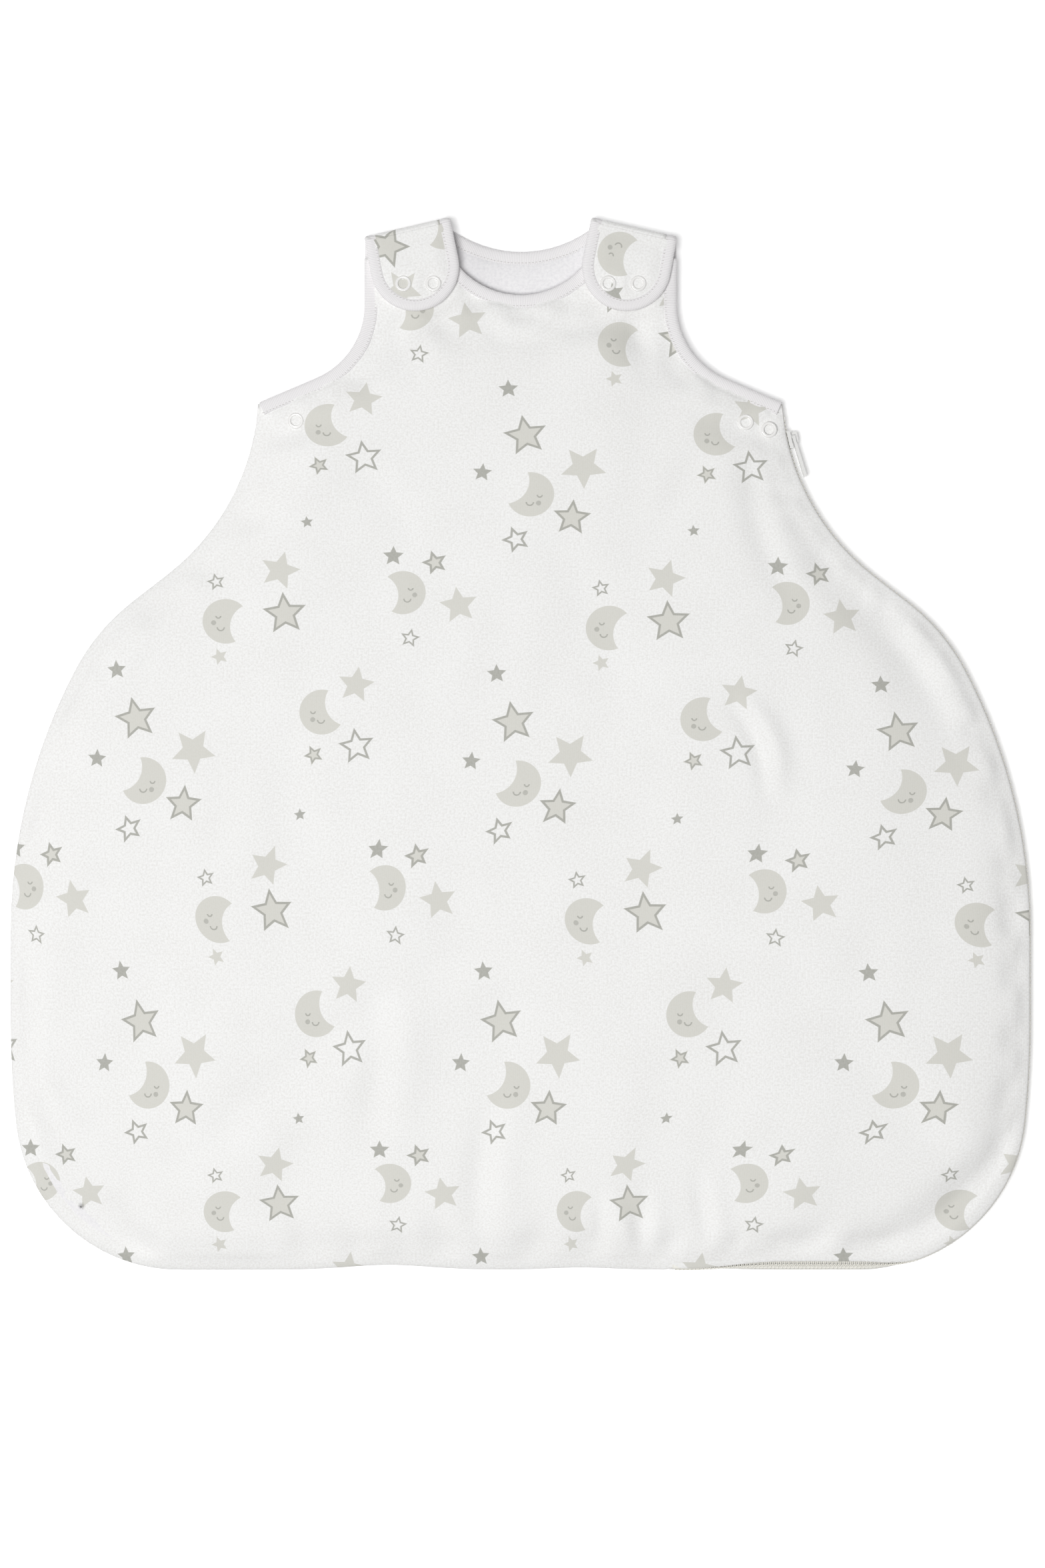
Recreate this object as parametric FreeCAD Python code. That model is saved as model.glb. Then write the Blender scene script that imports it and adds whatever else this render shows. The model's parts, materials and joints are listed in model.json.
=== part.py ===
import FreeCAD, Part
import math
import os

from FreeCAD import Vector

# A baby sleeping bag lying flat on its back, millimetres.
# +X is the zip's side, +Y points to the neck, +Z comes up through the front.
# The origin is on the floor under the middle of the overall box.

# ---- driving dimensions: outline -------------------------------------------------
bag_length = 700.0             # from the hem to the tops of the shoulder folds
hip_half_width = 340.0         # half of the widest part
underarm_half_width = 175.0    # half of the width at the underarm corners
underarm_drop = 123.0          # from the shoulder tops down to the underarm corners
side_start_lean = 3.6          # degrees that the side leans outward under the arm
waist_radius = 156.0           # hollow curve under the arm, which the slider follows
waist_turn = 48.6              # degrees
flank_radius = 138.5           # round curve from the flare into the hip
flank_turn = 24.5
hip_radius = 376.0             # slow curve that ends straight down
hem_side_radius = 649.0        # slow curve from the hip towards the hem corner
hem_side_turn = 6.0
hem_corner_radius = 109.0
neck_half_width = 47.0         # from the middle to the inner side of a strap
shoulder_half_width = 104.0    # from the middle to the outer side of a strap
shoulder_slope = 13.0          # the outer end of a shoulder fold is this much lower
armhole_radius = 53.0
armhole_end_slope = 23.0       # degrees below level where the armhole meets the side
front_neck_radius = 54.0
front_neck_drop = 51.0         # shoulder tops down to the lowest point of the front neck
back_neck_radius = 79.0
back_neck_drop = 21.0
front_shoulder_setback = 14.0  # the front ends this far below the shoulder fold

# ---- driving dimensions: layers --------------------------------------------------
shell_thick = 0.8              # outer jersey and lining, each
wadding_thick = 4.0
cavity_high = 6.0              # the empty bag, between its two linings
strap_wadding_thick = 2.4
strap_gap = 1.1                # front to the underside of a folded strap
fold_wall = 4.6                # thickness of the strap where it turns at the shoulder
joint_gap = 0.3                # clearance between pieces that don't touch

# ---- driving dimensions: edges ---------------------------------------------------
binding_wide = 6.5
binding_thick = 0.8
edge_inset = 1.7               # quilt edge in from the outline along the sides
tape_thick = 0.6
tape_inset = 0.8               # outer face of the zip tape in from the outline
tape_hem = 7.0                 # how far a tape's sewn-in leg reaches in
coil_deep = 0.8
coil_half_high = 2.2           # each half of the coil
coil_split = 1.2               # gap between the two halves, which the slider's post needs
zip_start = 12.0               # along the side from the underarm corner to the first coil
zip_hem_end = 102.0            # x of the zip's end on the hem
front_fold_hem = 107.0         # x where the front's fold line meets the hem
stop_long = 3.0
binding_end = 6.0              # bindings stop this far from the shoulder folds

# ---- driving dimensions: slider and pull -----------------------------------------
slider_at = 9.0                # degrees along the hollow curve at rest
slider_long = 11.6
slider_plate = 1.6
slider_high = 8.6
slider_inner_high = 4.0
post_thick = 0.6
slider_run = 0.4               # clearance between the slider and what it runs over
slider_inner_plate = 1.2
post_long = 2.6
bridge_start = -4.6            # along the track from the slider's middle
bridge_stop = 2.8
bridge_leg = 1.4
bridge_thick = 1.8
bridge_rise = 4.6
bridge_bar = 1.3
pull_pin_radius = 0.8
pull_eye_radius = 1.2
pull_slot = 5.4                # how far the pull is slotted from its pin
pull_long = 27.0
pull_thick = 2.0
pull_wide = 6.5
slider_travel = 24.0           # degrees along the hollow curve
front_fold_at = 38.0           # degrees along the hollow curve to the front's fold line

# ---- driving dimensions: straps and poppers --------------------------------------
strap_tip_radius = 29.5
strap_tip_x = 70.3
strap_tip_drop = 33.0          # shoulder tops down to the middle of the strap's round tip
popper_ring_radius = 5.35
popper_ring_hole = 3.4
popper_ring_high = 1.0
popper_base_radius = 5.0
popper_base_thick = 0.7
stud_radius = 2.1
stud_high = 1.7
socket_bore = 2.5
socket_high = 2.2
socket_roof = 0.4
prong_radius = 0.4
prong_circle = 4.1
prong_count = 5
strap_popper_spacing = 20.0
strap_popper_drop = 44.5       # shoulder tops down to a strap's poppers
strap_popper_x = 68.0          # middle of the pair
underarm_poppers = (Vector(-149.5, -12.0), Vector(149.5, -13.0), Vector(165.0, -18.0))
underarm_base_thick = 1.2
popper_back_thick = 0.8
prong_clearance = 0.2
underarm_stud_high = 3.0
underarm_socket_high = 4.4

# ---- heights worked out from the layers ------------------------------------------
quilt_thick = 2 * shell_thick + wadding_thick
back_top = quilt_thick
front_bottom = back_top + cavity_high
front_top = front_bottom + quilt_thick
strap_bottom = front_top + strap_gap
strap_top = strap_bottom + 2 * shell_thick + strap_wadding_thick
zip_height = (back_top + front_bottom) / 2
top_y = bag_length / 2
underarm_y = top_y - underarm_drop
deep = 60.0                    # taller than the whole bag, for cutting
FAR = 2000.0


# ---- plane geometry ---------------------------------------------------------------
def heading(degrees):
    """A unit vector in the plane."""
    return Vector(math.cos(math.radians(degrees)), math.sin(math.radians(degrees)), 0)


def left_of(direction):
    return Vector(-direction.y, direction.x, 0)


class Path:
    """A chain of tangent lines and arcs that can be repeated at any inset.

    Insets grow to the right of the walking direction.
    """

    def __init__(self, start, angle):
        self.start = start
        self.angle = angle
        self.steps = []

    def line(self, length):
        self.steps.append(("line", length, 0))
        return self

    def arc(self, radius, turn):
        """Positive turns bend to the left."""
        self.steps.append(("arc", radius, turn))
        return self

    def edges(self, inset=0.0):
        """The edges at an inset, with the two end points."""
        angle = self.angle
        point = self.start - left_of(heading(angle)) * inset
        first = point
        edges = []
        for kind, size, turn in self.steps:
            if kind == "line":
                after = point + heading(angle) * size
                edges.append(Part.makeLine(point, after))
            else:
                side = math.copysign(1.0, turn)
                radius = size + side * inset
                centre = point + left_of(heading(angle)) * side * radius
                middle = centre - left_of(heading(angle + turn / 2)) * side * radius
                after = centre - left_of(heading(angle + turn)) * side * radius
                edges.append(Part.Arc(point, middle, after).toShape())
                angle += turn
            point = after
        return edges, first, point

    def end(self):
        return self.edges()[2]

    def band(self, inset_a, inset_b):
        """The face between two insets."""
        edges_a, first_a, last_a = self.edges(inset_a)
        edges_b, first_b, last_b = self.edges(inset_b)
        caps = [Part.makeLine(first_a, first_b), Part.makeLine(last_a, last_b)]
        return closed_face(edges_a + edges_b + caps)


def closed_face(edges):
    return Part.Face(Part.Wire(Part.__sortEdges__(edges)))


def prism(face, bottom, top):
    """A face in the plane raised between two heights."""
    solid = face.extrude(Vector(0, 0, top - bottom))
    solid.translate(Vector(0, 0, bottom))
    return solid


def mirrored(shape):
    return shape.mirror(Vector(0, 0, 0), Vector(1, 0, 0))


def disc(centre, radius, bottom, top):
    return Part.makeCylinder(radius, top - bottom, Vector(centre.x, centre.y, bottom))


def block(low, high):
    size = high - low
    return Part.makeBox(size.x, size.y, size.z, low)


def slab_past(point, direction, gap=0.0):
    """Everything to the right of a line through a point, as a tall box."""
    across = left_of(direction) * -1
    corner = point + across * gap - direction * FAR
    corners = [
        corner,
        corner + direction * 2 * FAR,
        corner + direction * 2 * FAR + across * FAR,
        corner + across * FAR,
    ]
    return prism(Part.Face(Part.makePolygon(corners + corners[:1])), -deep, deep)


# ---- outline ----------------------------------------------------------------------
def right_side(hem_x, skip=0.0, end_skip=None):
    """The right side and hem, walked down from the underarm corner.

    skip leaves out the first degrees of the hollow curve. end_skip stops there.
    """
    lean = -90 + side_start_lean
    flare = lean + waist_turn
    flank = flare - flank_turn
    corner = Vector(underarm_half_width, underarm_y)
    start = Path(corner, lean).arc(waist_radius, skip).end() if skip else corner
    run = Path(start, lean + skip)
    if end_skip is not None:
        return run.arc(waist_radius, end_skip - skip)
    run.arc(waist_radius, waist_turn - skip)
    rounding = Path(Vector(0, 0), flare)
    rounding.arc(flank_radius, -flank_turn)
    rounding.arc(hip_radius, -(flank + 90))
    reach = hip_half_width - run.end().x - rounding.end().x
    run.line(reach / math.cos(math.radians(flare)))
    run.arc(flank_radius, -flank_turn)
    run.arc(hip_radius, -(flank + 90))
    lower = Path(Vector(0, 0), -90)
    lower.arc(hem_side_radius, -hem_side_turn)
    lower.arc(hem_corner_radius, -(90 - hem_side_turn))
    run.line(run.end().y + lower.end().y + bag_length / 2)
    run.arc(hem_side_radius, -hem_side_turn)
    run.arc(hem_corner_radius, -(90 - hem_side_turn))
    return run.line(run.end().x - hem_x)


def right_armhole(top_gap=0.0):
    """The right armhole, walked down from below the shoulder to the underarm corner."""
    turn = 90 - armhole_end_slope
    bend = Path(Vector(0, 0), -90).arc(armhole_radius, turn).end()
    reach = underarm_half_width - shoulder_half_width - bend.x
    last = reach / math.cos(math.radians(armhole_end_slope))
    fall = last * math.sin(math.radians(armhole_end_slope)) - bend.y
    start_y = top_y - shoulder_slope - top_gap
    run = Path(Vector(shoulder_half_width, start_y), -90)
    run.line(start_y - underarm_y - fall)
    return run.arc(armhole_radius, turn).line(last)


def neckline(radius, drop, reach=neck_half_width):
    """A whole neckline from left to right, as far out as reach."""
    turn = math.degrees(math.asin(reach / radius))
    lowest = top_y - drop
    start = Vector(-reach, lowest + radius * (1 - math.cos(math.radians(turn))))
    return Path(start, -turn).arc(radius, 2 * turn)


def fold_direction():
    """Along the right shoulder fold, away from the neck."""
    return Vector(shoulder_half_width - neck_half_width, -shoulder_slope, 0).normalize()


def fold_start():
    return Vector(neck_half_width, top_y, 0)


def outline(neck):
    """The whole outline with one neckline, closed."""
    neck_edges, _, neck_end = neck.edges()
    arm_edges, shoulder, _ = right_armhole().edges()
    side_edges, _, _ = right_side(0.0).edges()
    right = [Part.makeLine(neck_end, fold_start()), Part.makeLine(fold_start(), shoulder)]
    right += arm_edges + side_edges
    return closed_face(neck_edges + right + [mirrored(edge) for edge in right])


def both_sides(solid):
    return [solid, mirrored(solid)]


def quilt_blank(neck, setback):
    """The plane of one quilt with its edges drawn in to leave room for trims."""
    spare = 4.0
    blank = prism(outline(neck), 0, deep)
    edge = binding_thick + joint_gap
    cutters = [prism(neck.band(-spare, edge), -1, deep + 1)]
    cutters += both_sides(prism(right_armhole().band(-spare, edge), -1, deep + 1))
    cutters += both_sides(prism(right_side(0.0).band(-spare, edge_inset), -1, deep + 1))
    if setback:
        across = left_of(fold_direction()) * -1
        shoulder = slab_past(fold_start() + across * setback, fold_direction() * -1)
        cutters += both_sides(shoulder)
    return blank.cut(cutters)


def layer(blank, bottom, top):
    low = Vector(-FAR, -FAR, bottom)
    return blank.common(block(low, Vector(FAR, FAR, top)))


# ---- the front's fold line --------------------------------------------------------
def front_fold():
    """The fold line's lower and upper ends on the outline."""
    upper = right_side(0.0, 0.0, front_fold_at).end()
    return Vector(front_fold_hem, -bag_length / 2, 0), upper


def fold_side(solid, moving):
    """The part of a solid that folds back with the front, or the part that stays."""
    lower, upper = front_fold()
    direction = (upper - lower).normalize()
    if moving:
        return solid.common(slab_past(lower, direction, joint_gap))
    return solid.cut(slab_past(lower, direction))


def highest(shape):
    """The solid that reaches furthest up to the neck."""
    return max(shape.Solids, key=lambda solid: solid.BoundBox.YMax)


# ---- poppers ----------------------------------------------------------------------
def ring(centre, bottom, high):
    outer = disc(centre, popper_ring_radius, bottom, bottom + high)
    return outer.cut(disc(centre, popper_ring_hole, bottom - 1, bottom + high + 1))


def prongs(centre, bottom, top, radius=prong_radius):
    pins = []
    for index in range(prong_count):
        offset = heading(360.0 * index / prong_count) * prong_circle
        pins.append(disc(centre + offset, radius, bottom, top))
    return pins


def ring_with_prongs(centre, bottom, high, prong_bottom, prong_top):
    return ring(centre, bottom, high).fuse(prongs(centre, prong_bottom, prong_top))


def prong_holes(centres):
    holes = []
    for centre in centres:
        holes += prongs(centre, -1, deep, prong_radius + prong_clearance)
    return holes


def socket(centre, bottom, high, roof):
    body = disc(centre, popper_base_radius, bottom, bottom + high)
    return body.cut(disc(centre, socket_bore, bottom - 1, bottom + high - roof))


def stud(centre, bottom, base_thick, high):
    base = disc(centre, popper_base_radius, bottom, bottom + base_thick)
    return base.fuse(disc(centre, stud_radius, bottom, bottom + base_thick + high))


def strap_popper_centres(side):
    """The two poppers of one strap. side is 1 on the right and -1 on the left."""
    half = strap_popper_spacing / 2
    y = top_y - strap_popper_drop
    return [Vector(side * (strap_popper_x + shift), y, 0) for shift in (-half, half)]


def underarm_centres():
    return [point + Vector(0, underarm_y, 0) for point in underarm_poppers]


# ---- quilts -----------------------------------------------------------------------
def back_parts():
    blank = quilt_blank(neckline(back_neck_radius, back_neck_drop), 0.0)
    blank = blank.cut(prong_holes(underarm_centres()))
    outer = layer(blank, 0, shell_thick)
    pocket = popper_ring_radius + joint_gap
    outer = outer.cut([disc(c, pocket, -1, deep) for c in underarm_centres()])
    return {
        "back_outer": outer,
        "back_wadding": layer(blank, shell_thick, shell_thick + wadding_thick),
        "back_lining": layer(blank, shell_thick + wadding_thick, back_top),
    }


def front_parts():
    neck = neckline(front_neck_radius, front_neck_drop)
    blank = quilt_blank(neck, front_shoulder_setback)
    centres = underarm_centres() + strap_popper_centres(1) + strap_popper_centres(-1)
    blank = blank.cut(prong_holes(centres))
    levels = (front_bottom, front_bottom + shell_thick, front_top - shell_thick, front_top)
    parts = {}
    for name, bottom, top in zip(("lining", "wadding", "outer"), levels, levels[1:]):
        sheet = layer(blank, bottom, top)
        parts["front_" + name] = fold_side(sheet, False)
        parts["front_corner_" + name] = fold_side(sheet, True)
    return parts


# ---- bindings and seam ------------------------------------------------------------
def binding(path, bottom, top):
    """A binding's turn round the edge and its sewn leg on the upper face."""
    web = prism(path.band(0, binding_thick), bottom, top + binding_thick)
    return web.fuse(prism(path.band(0, binding_wide), top, top + binding_thick)).removeSplitter()


def binding_parts():
    front_neck = neckline(front_neck_radius, front_neck_drop, neck_half_width - binding_end / 2)
    back_neck = neckline(back_neck_radius, back_neck_drop, neck_half_width - binding_end)
    front_arm = binding(right_armhole(front_shoulder_setback + 1.0), front_bottom, front_top)
    back_arm = binding(right_armhole(binding_end), 0, back_top)
    return {
        "neck_binding_front": binding(front_neck, front_bottom, front_top),
        "neck_binding_back": binding(back_neck, 0, back_top),
        "armhole_binding_front_right": front_arm,
        "armhole_binding_front_left": mirrored(front_arm),
        "armhole_binding_back_right": back_arm,
        "armhole_binding_back_left": mirrored(back_arm),
    }


def seam_leg(path, bottom):
    """A sewn-in leg that lies flat against a lining, notched round any popper by it."""
    leg = prism(path.band(tape_inset, tape_hem), bottom, bottom + tape_thick)
    notch = popper_base_radius + joint_gap
    return leg.cut([disc(c, notch, bottom - 1, bottom + 1) for c in underarm_centres()])


def wall(path, bottom, top):
    return prism(path.band(tape_inset, tape_inset + tape_thick), bottom, top)


def side_seam():
    """The closed edge from the left underarm to the end of the zip on the hem."""
    path = right_side(-(zip_hem_end - stop_long - joint_gap), zip_skip(stop_long))
    legs = [seam_leg(path, back_top), seam_leg(path, front_bottom - tape_thick)]
    turned_in = path.band(0, tape_inset + tape_thick)
    edge = prism(turned_in, shell_thick, front_top - shell_thick)
    return mirrored(edge.fuse(legs).removeSplitter())


# ---- zip --------------------------------------------------------------------------
def zip_skip(spare=0.0):
    """Degrees of the hollow curve before the zip's coil, less a spare length of tape."""
    return math.degrees((zip_start - spare) / waist_radius)


def zip_parts():
    path = right_side(zip_hem_end - stop_long, zip_skip(stop_long))
    half = coil_split / 2
    front_leg = seam_leg(path, front_bottom - tape_thick)
    front_tape = wall(path, zip_height + half, front_top - shell_thick).fuse(front_leg)
    back_tape = wall(path, shell_thick, zip_height - half).fuse(seam_leg(path, back_top))
    coil = right_side(zip_hem_end, zip_skip()).band(tape_inset - coil_deep, tape_inset)
    front_coil = prism(coil, zip_height + half, zip_height + half + coil_half_high)
    back_coil = prism(coil, zip_height - half - coil_half_high, zip_height - half)
    front_tape = front_tape.removeSplitter()
    return {
        "zip_tape_front_top": highest(fold_side(front_tape, False)),
        "zip_tape_front_corner": fold_side(front_tape, True),
        "zip_coil_front_top": highest(fold_side(front_coil, False)),
        "zip_coil_front_corner": fold_side(front_coil, True),
        "zip_tape_back": back_tape.removeSplitter(),
        "zip_coil_back": back_coil,
    }


def stop_parts():
    """The stops: one on each half at the top, and one on the back half at the hem."""
    face = right_side(0, zip_skip(stop_long), zip_skip()).band(tape_inset - coil_deep, tape_inset)
    half = coil_split / 2
    upper = prism(face, zip_height + half, zip_height + half + coil_half_high)
    lower = prism(face, zip_height - half - coil_half_high, zip_height - half)
    y = -bag_length / 2
    low = zip_height - half - coil_half_high
    hem = block(
        Vector(zip_hem_end - stop_long, y + tape_inset - coil_deep, low),
        Vector(zip_hem_end, y + tape_inset, zip_height - half),
    )
    return {"zip_top_stops": Part.makeCompound([upper, lower]), "zip_bottom_stop": hem}


def slider_span(start_long, end_long, inset_a, inset_b, half_high):
    """A block of the slider between two distances from its middle, along the track."""
    start = slider_at + math.degrees(start_long / waist_radius)
    end = slider_at + math.degrees(end_long / waist_radius)
    face = right_side(0, start, end).band(inset_a, inset_b)
    return prism(face, zip_height - half_high, zip_height + half_high)


def slider_back():
    """The inset of the face that the bridge stands on."""
    return tape_inset - coil_deep - slider_run - slider_plate


def zip_slider():
    half = slider_long / 2
    outer_face = tape_inset - coil_deep - slider_run
    inner_face = tape_inset + tape_thick + slider_run
    inner_back = inner_face + slider_inner_plate
    back_of_plate = slider_back()
    outer = slider_span(-half, half, back_of_plate, outer_face, slider_high / 2)
    inner = slider_span(-half, half, inner_face, inner_back, slider_inner_high / 2)
    post = slider_span(-half, -half + post_long, outer_face, inner_face, post_thick / 2)
    rims = slider_span(-half, half, outer_face, tape_inset - slider_run, slider_high / 2)
    channel = coil_split / 2 + coil_half_high + slider_run
    rims = rims.cut(slider_span(-half - 1, half + 1, outer_face - 1, tape_inset, channel))
    reach = back_of_plate - bridge_rise
    bridge = slider_span(bridge_start, bridge_stop, reach, back_of_plate, bridge_thick / 2)
    opening_start = bridge_start + bridge_leg
    opening_stop = bridge_stop - bridge_leg
    opening = slider_span(opening_start, opening_stop, reach + bridge_bar, back_of_plate, deep)
    return outer.fuse([inner, post, rims, bridge.cut(opening)]).removeSplitter()


def pull_pivot():
    """The middle of the pull's pin and the way the pull points at rest.

    The pull leans out by as much as the track bends over its length.
    """
    bridge_middle = (bridge_start + bridge_stop) / 2
    middle = slider_at + math.degrees(bridge_middle / waist_radius)
    run = right_side(0, 0.0, middle)
    inset = slider_back() - (bridge_rise - bridge_bar) / 2
    track = heading(-90 + side_start_lean + middle)
    lean = math.degrees(pull_long / (2 * waist_radius))
    return run.end() + left_of(track) * -inset, heading(-90 + side_start_lean + middle + lean)


def zip_pull():
    pivot, along = pull_pivot()
    slot_half = bridge_thick / 2 + joint_gap
    outward = left_of(along)
    half = pull_thick / 2

    def bar(start, end, bottom, top):
        a = pivot + along * start + outward * half
        b = pivot + along * end + outward * half
        c = b - outward * pull_thick
        d = a - outward * pull_thick
        return prism(Part.Face(Part.makePolygon([a, b, c, d, a])), bottom, top)

    low = zip_height - pull_wide / 2
    high = zip_height + pull_wide / 2
    body = bar(0, pull_long, low, high).fuse(disc(pivot, pull_eye_radius, low, high))
    slot = disc(pivot, pull_slot, zip_height - slot_half, zip_height + slot_half)
    pin = disc(pivot, pull_pin_radius, low, high)
    return body.cut(slot).fuse(pin).removeSplitter()


# ---- straps -----------------------------------------------------------------------
def strap_tip():
    return Vector(strap_tip_x, top_y - strap_tip_drop, 0)


def tangent_touch(point, centre, radius, side):
    """Where the line from a point just touches a circle, on one side."""
    to_point = point - centre
    angle = math.degrees(math.atan2(to_point.y, to_point.x))
    spread = math.degrees(math.acos(radius / to_point.Length))
    return centre + heading(angle + side * spread) * radius


def strap_face(inset, fold_gap):
    """A folded strap's plane, drawn in by inset and stopping short of its fold."""
    tip = strap_tip()
    radius = strap_tip_radius - inset
    ends = []
    for point, side in ((fold_start(), 1), (fold_end(), -1)):
        touch = tangent_touch(point, tip, strap_tip_radius, side)
        outward = (touch - tip).normalize()
        ends.append((point - outward * inset, tip + outward * radius))
    (inner_top, inner_touch), (outer_top, outer_touch) = ends
    lift = (inner_top - inner_touch).normalize() * 20
    drop = (outer_top - outer_touch).normalize() * 20
    bottom = tip - Vector(0, radius, 0)
    edges = [
        Part.makeLine(inner_top + lift, inner_touch),
        Part.Arc(inner_touch, bottom, outer_touch).toShape(),
        Part.makeLine(outer_touch, outer_top + drop),
        Part.makeLine(outer_top + drop, inner_top + lift),
    ]
    face = closed_face(edges)
    across = left_of(fold_direction()) * -1
    past = slab_past(fold_start() + across * fold_gap, fold_direction() * -1)
    return face.cut(past)


def fold_end():
    return Vector(shoulder_half_width, top_y - shoulder_slope, 0)


def strap_parts(side, name):
    """The folded strap of one side, made on the right and mirrored for the left."""
    centres = strap_popper_centres(1)
    quilt = prism(strap_face(binding_thick + joint_gap, joint_gap), strap_bottom, strap_top)
    pocket = popper_base_radius + joint_gap
    socket_top = strap_bottom + socket_high
    quilt = quilt.cut([disc(c, pocket, strap_bottom - 1, socket_top) for c in centres])
    quilt = quilt.cut(prong_holes(centres))
    edge = strap_face(0, joint_gap)
    web = prism(edge.cut(strap_face(binding_thick, -1)), strap_bottom, strap_top + binding_thick)
    lip = prism(edge.cut(strap_face(binding_wide, -1)), strap_top, strap_top + binding_thick)
    caps = [ring_with_prongs(c, strap_top, popper_ring_high, socket_top, strap_top) for c in centres]
    sockets = [socket(c, strap_bottom, socket_high, socket_roof) for c in centres]
    parts = {
        "lining": layer(quilt, strap_bottom, strap_bottom + shell_thick),
        "wadding": layer(quilt, strap_bottom + shell_thick, strap_top - shell_thick),
        "outer": layer(quilt, strap_top - shell_thick, strap_top),
        "binding": web.fuse(lip).removeSplitter(),
        "popper_caps": Part.makeCompound(caps),
        "popper_sockets": Part.makeCompound(sockets),
    }
    turned = {}
    for key, shape in parts.items():
        turned["strap_" + name + "_" + key] = shape if side > 0 else mirrored(shape)
    return turned


def shoulder_fold():
    """The right strap's turn from the back up to its folded part."""
    across = left_of(fold_direction()) * -1
    a = fold_start()
    b = fold_end()
    corners = [a, b, b + across * fold_wall, a + across * fold_wall, a]
    return prism(Part.Face(Part.makePolygon(corners)), back_top, strap_bottom - joint_gap)


# ---- fixed popper parts -----------------------------------------------------------
def strap_stud_parts(side, name):
    centres = strap_popper_centres(side)
    studs = [stud(c, front_top, popper_base_thick, stud_high) for c in centres]
    low = front_bottom - popper_back_thick
    rings = [ring_with_prongs(c, low, popper_back_thick, front_bottom, front_top) for c in centres]
    return {
        "shoulder_studs_" + name: Part.makeCompound(studs),
        "shoulder_stud_rings_" + name: Part.makeCompound(rings),
    }


def underarm_parts():
    centres = underarm_centres()
    caps = [ring_with_prongs(c, front_top, popper_ring_high, front_bottom, front_top) for c in centres]
    low = front_bottom - underarm_socket_high
    roof = low + underarm_socket_high - back_top - underarm_base_thick - underarm_stud_high - 0.4
    sockets = [socket(c, low, underarm_socket_high, roof) for c in centres]
    studs = [stud(c, back_top, underarm_base_thick, underarm_stud_high) for c in centres]
    rings = [ring_with_prongs(c, 0, popper_back_thick, popper_back_thick, back_top) for c in centres]
    return {
        "underarm_popper_caps": Part.makeCompound(caps),
        "underarm_popper_sockets": Part.makeCompound(sockets),
        "underarm_popper_studs": Part.makeCompound(studs),
        "underarm_popper_rings": Part.makeCompound(rings),
    }


# ---- assembly ---------------------------------------------------------------------
def all_parts():
    parts = {}
    parts.update(back_parts())
    parts.update(front_parts())
    parts.update(binding_parts())
    parts["side_seam"] = side_seam()
    parts.update(zip_parts())
    parts.update(stop_parts())
    parts["zip_slider"] = zip_slider()
    parts["zip_pull"] = zip_pull()
    parts["shoulder_fold_right"] = shoulder_fold()
    parts["shoulder_fold_left"] = mirrored(shoulder_fold())
    for side, name in ((1, "right"), (-1, "left")):
        parts.update(strap_parts(side, name))
        parts.update(strap_stud_parts(side, name))
    parts.update(underarm_parts())
    return parts


def print_joint_places():
    """The axes and points that the record's joints repeat, in millimetres."""
    lower, upper = front_fold()
    pivot, _ = pull_pivot()
    lean = -90 + side_start_lean
    corner = Vector(underarm_half_width, underarm_y)
    print("slider axis", corner + left_of(heading(lean)) * waist_radius)
    print("pull axis", pivot)
    print("front fold", lower, upper, "height", front_top)
    print("strap fold", fold_start(), fold_end(), "height", strap_bottom - joint_gap / 2)


os.makedirs("parts", exist_ok=True)
for node, shape in all_parts().items():
    shape.exportStep("parts/" + node + ".step")
print_joint_places()
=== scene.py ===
"""A quilted baby sleeping bag lying flat on a pale floor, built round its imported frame."""

from __future__ import annotations

import json
import logging
import math
from dataclasses import dataclass, field
from enum import Enum
from typing import Callable

import bmesh
import bpy
import numpy as np
from mathutils import Matrix, Vector
from mathutils.geometry import delaunay_2d_cdt
from mathutils.kdtree import KDTree

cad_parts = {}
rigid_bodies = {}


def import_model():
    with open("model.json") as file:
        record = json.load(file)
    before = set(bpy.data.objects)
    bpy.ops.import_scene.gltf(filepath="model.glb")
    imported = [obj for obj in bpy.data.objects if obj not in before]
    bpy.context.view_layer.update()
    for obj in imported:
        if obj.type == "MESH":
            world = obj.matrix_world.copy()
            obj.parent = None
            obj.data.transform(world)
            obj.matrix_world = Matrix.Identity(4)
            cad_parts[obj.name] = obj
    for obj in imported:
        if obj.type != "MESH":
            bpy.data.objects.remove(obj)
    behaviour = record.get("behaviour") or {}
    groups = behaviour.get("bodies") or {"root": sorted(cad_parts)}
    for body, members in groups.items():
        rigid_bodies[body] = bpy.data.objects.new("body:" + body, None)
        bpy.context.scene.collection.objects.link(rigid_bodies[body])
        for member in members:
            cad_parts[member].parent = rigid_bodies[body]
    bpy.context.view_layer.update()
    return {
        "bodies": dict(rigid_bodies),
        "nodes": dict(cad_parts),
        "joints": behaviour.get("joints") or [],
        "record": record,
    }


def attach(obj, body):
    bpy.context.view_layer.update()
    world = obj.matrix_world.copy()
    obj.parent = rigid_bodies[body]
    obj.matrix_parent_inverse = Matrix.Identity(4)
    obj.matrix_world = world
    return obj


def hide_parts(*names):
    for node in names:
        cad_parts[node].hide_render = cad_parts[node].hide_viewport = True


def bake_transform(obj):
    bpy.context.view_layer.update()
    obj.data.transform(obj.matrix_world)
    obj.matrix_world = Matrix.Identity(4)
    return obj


log = logging.getLogger("sleeping_bag")
MM = 0.001
HEM_LINE = -0.3  # the hem's half of the bag, in metres from its middle
RING_EDGE = 0.0052  # where a popper's ring meets the cloth, in metres from its centre
Array = np.ndarray
Placer = Callable[[Array, Array, bool], Array]
Piece, Material = bpy.types.Object, bpy.types.Material
Tree, Socket, Sockets = bpy.types.NodeTree, bpy.types.NodeSocket, bpy.types.bpy_prop_collection


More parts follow.
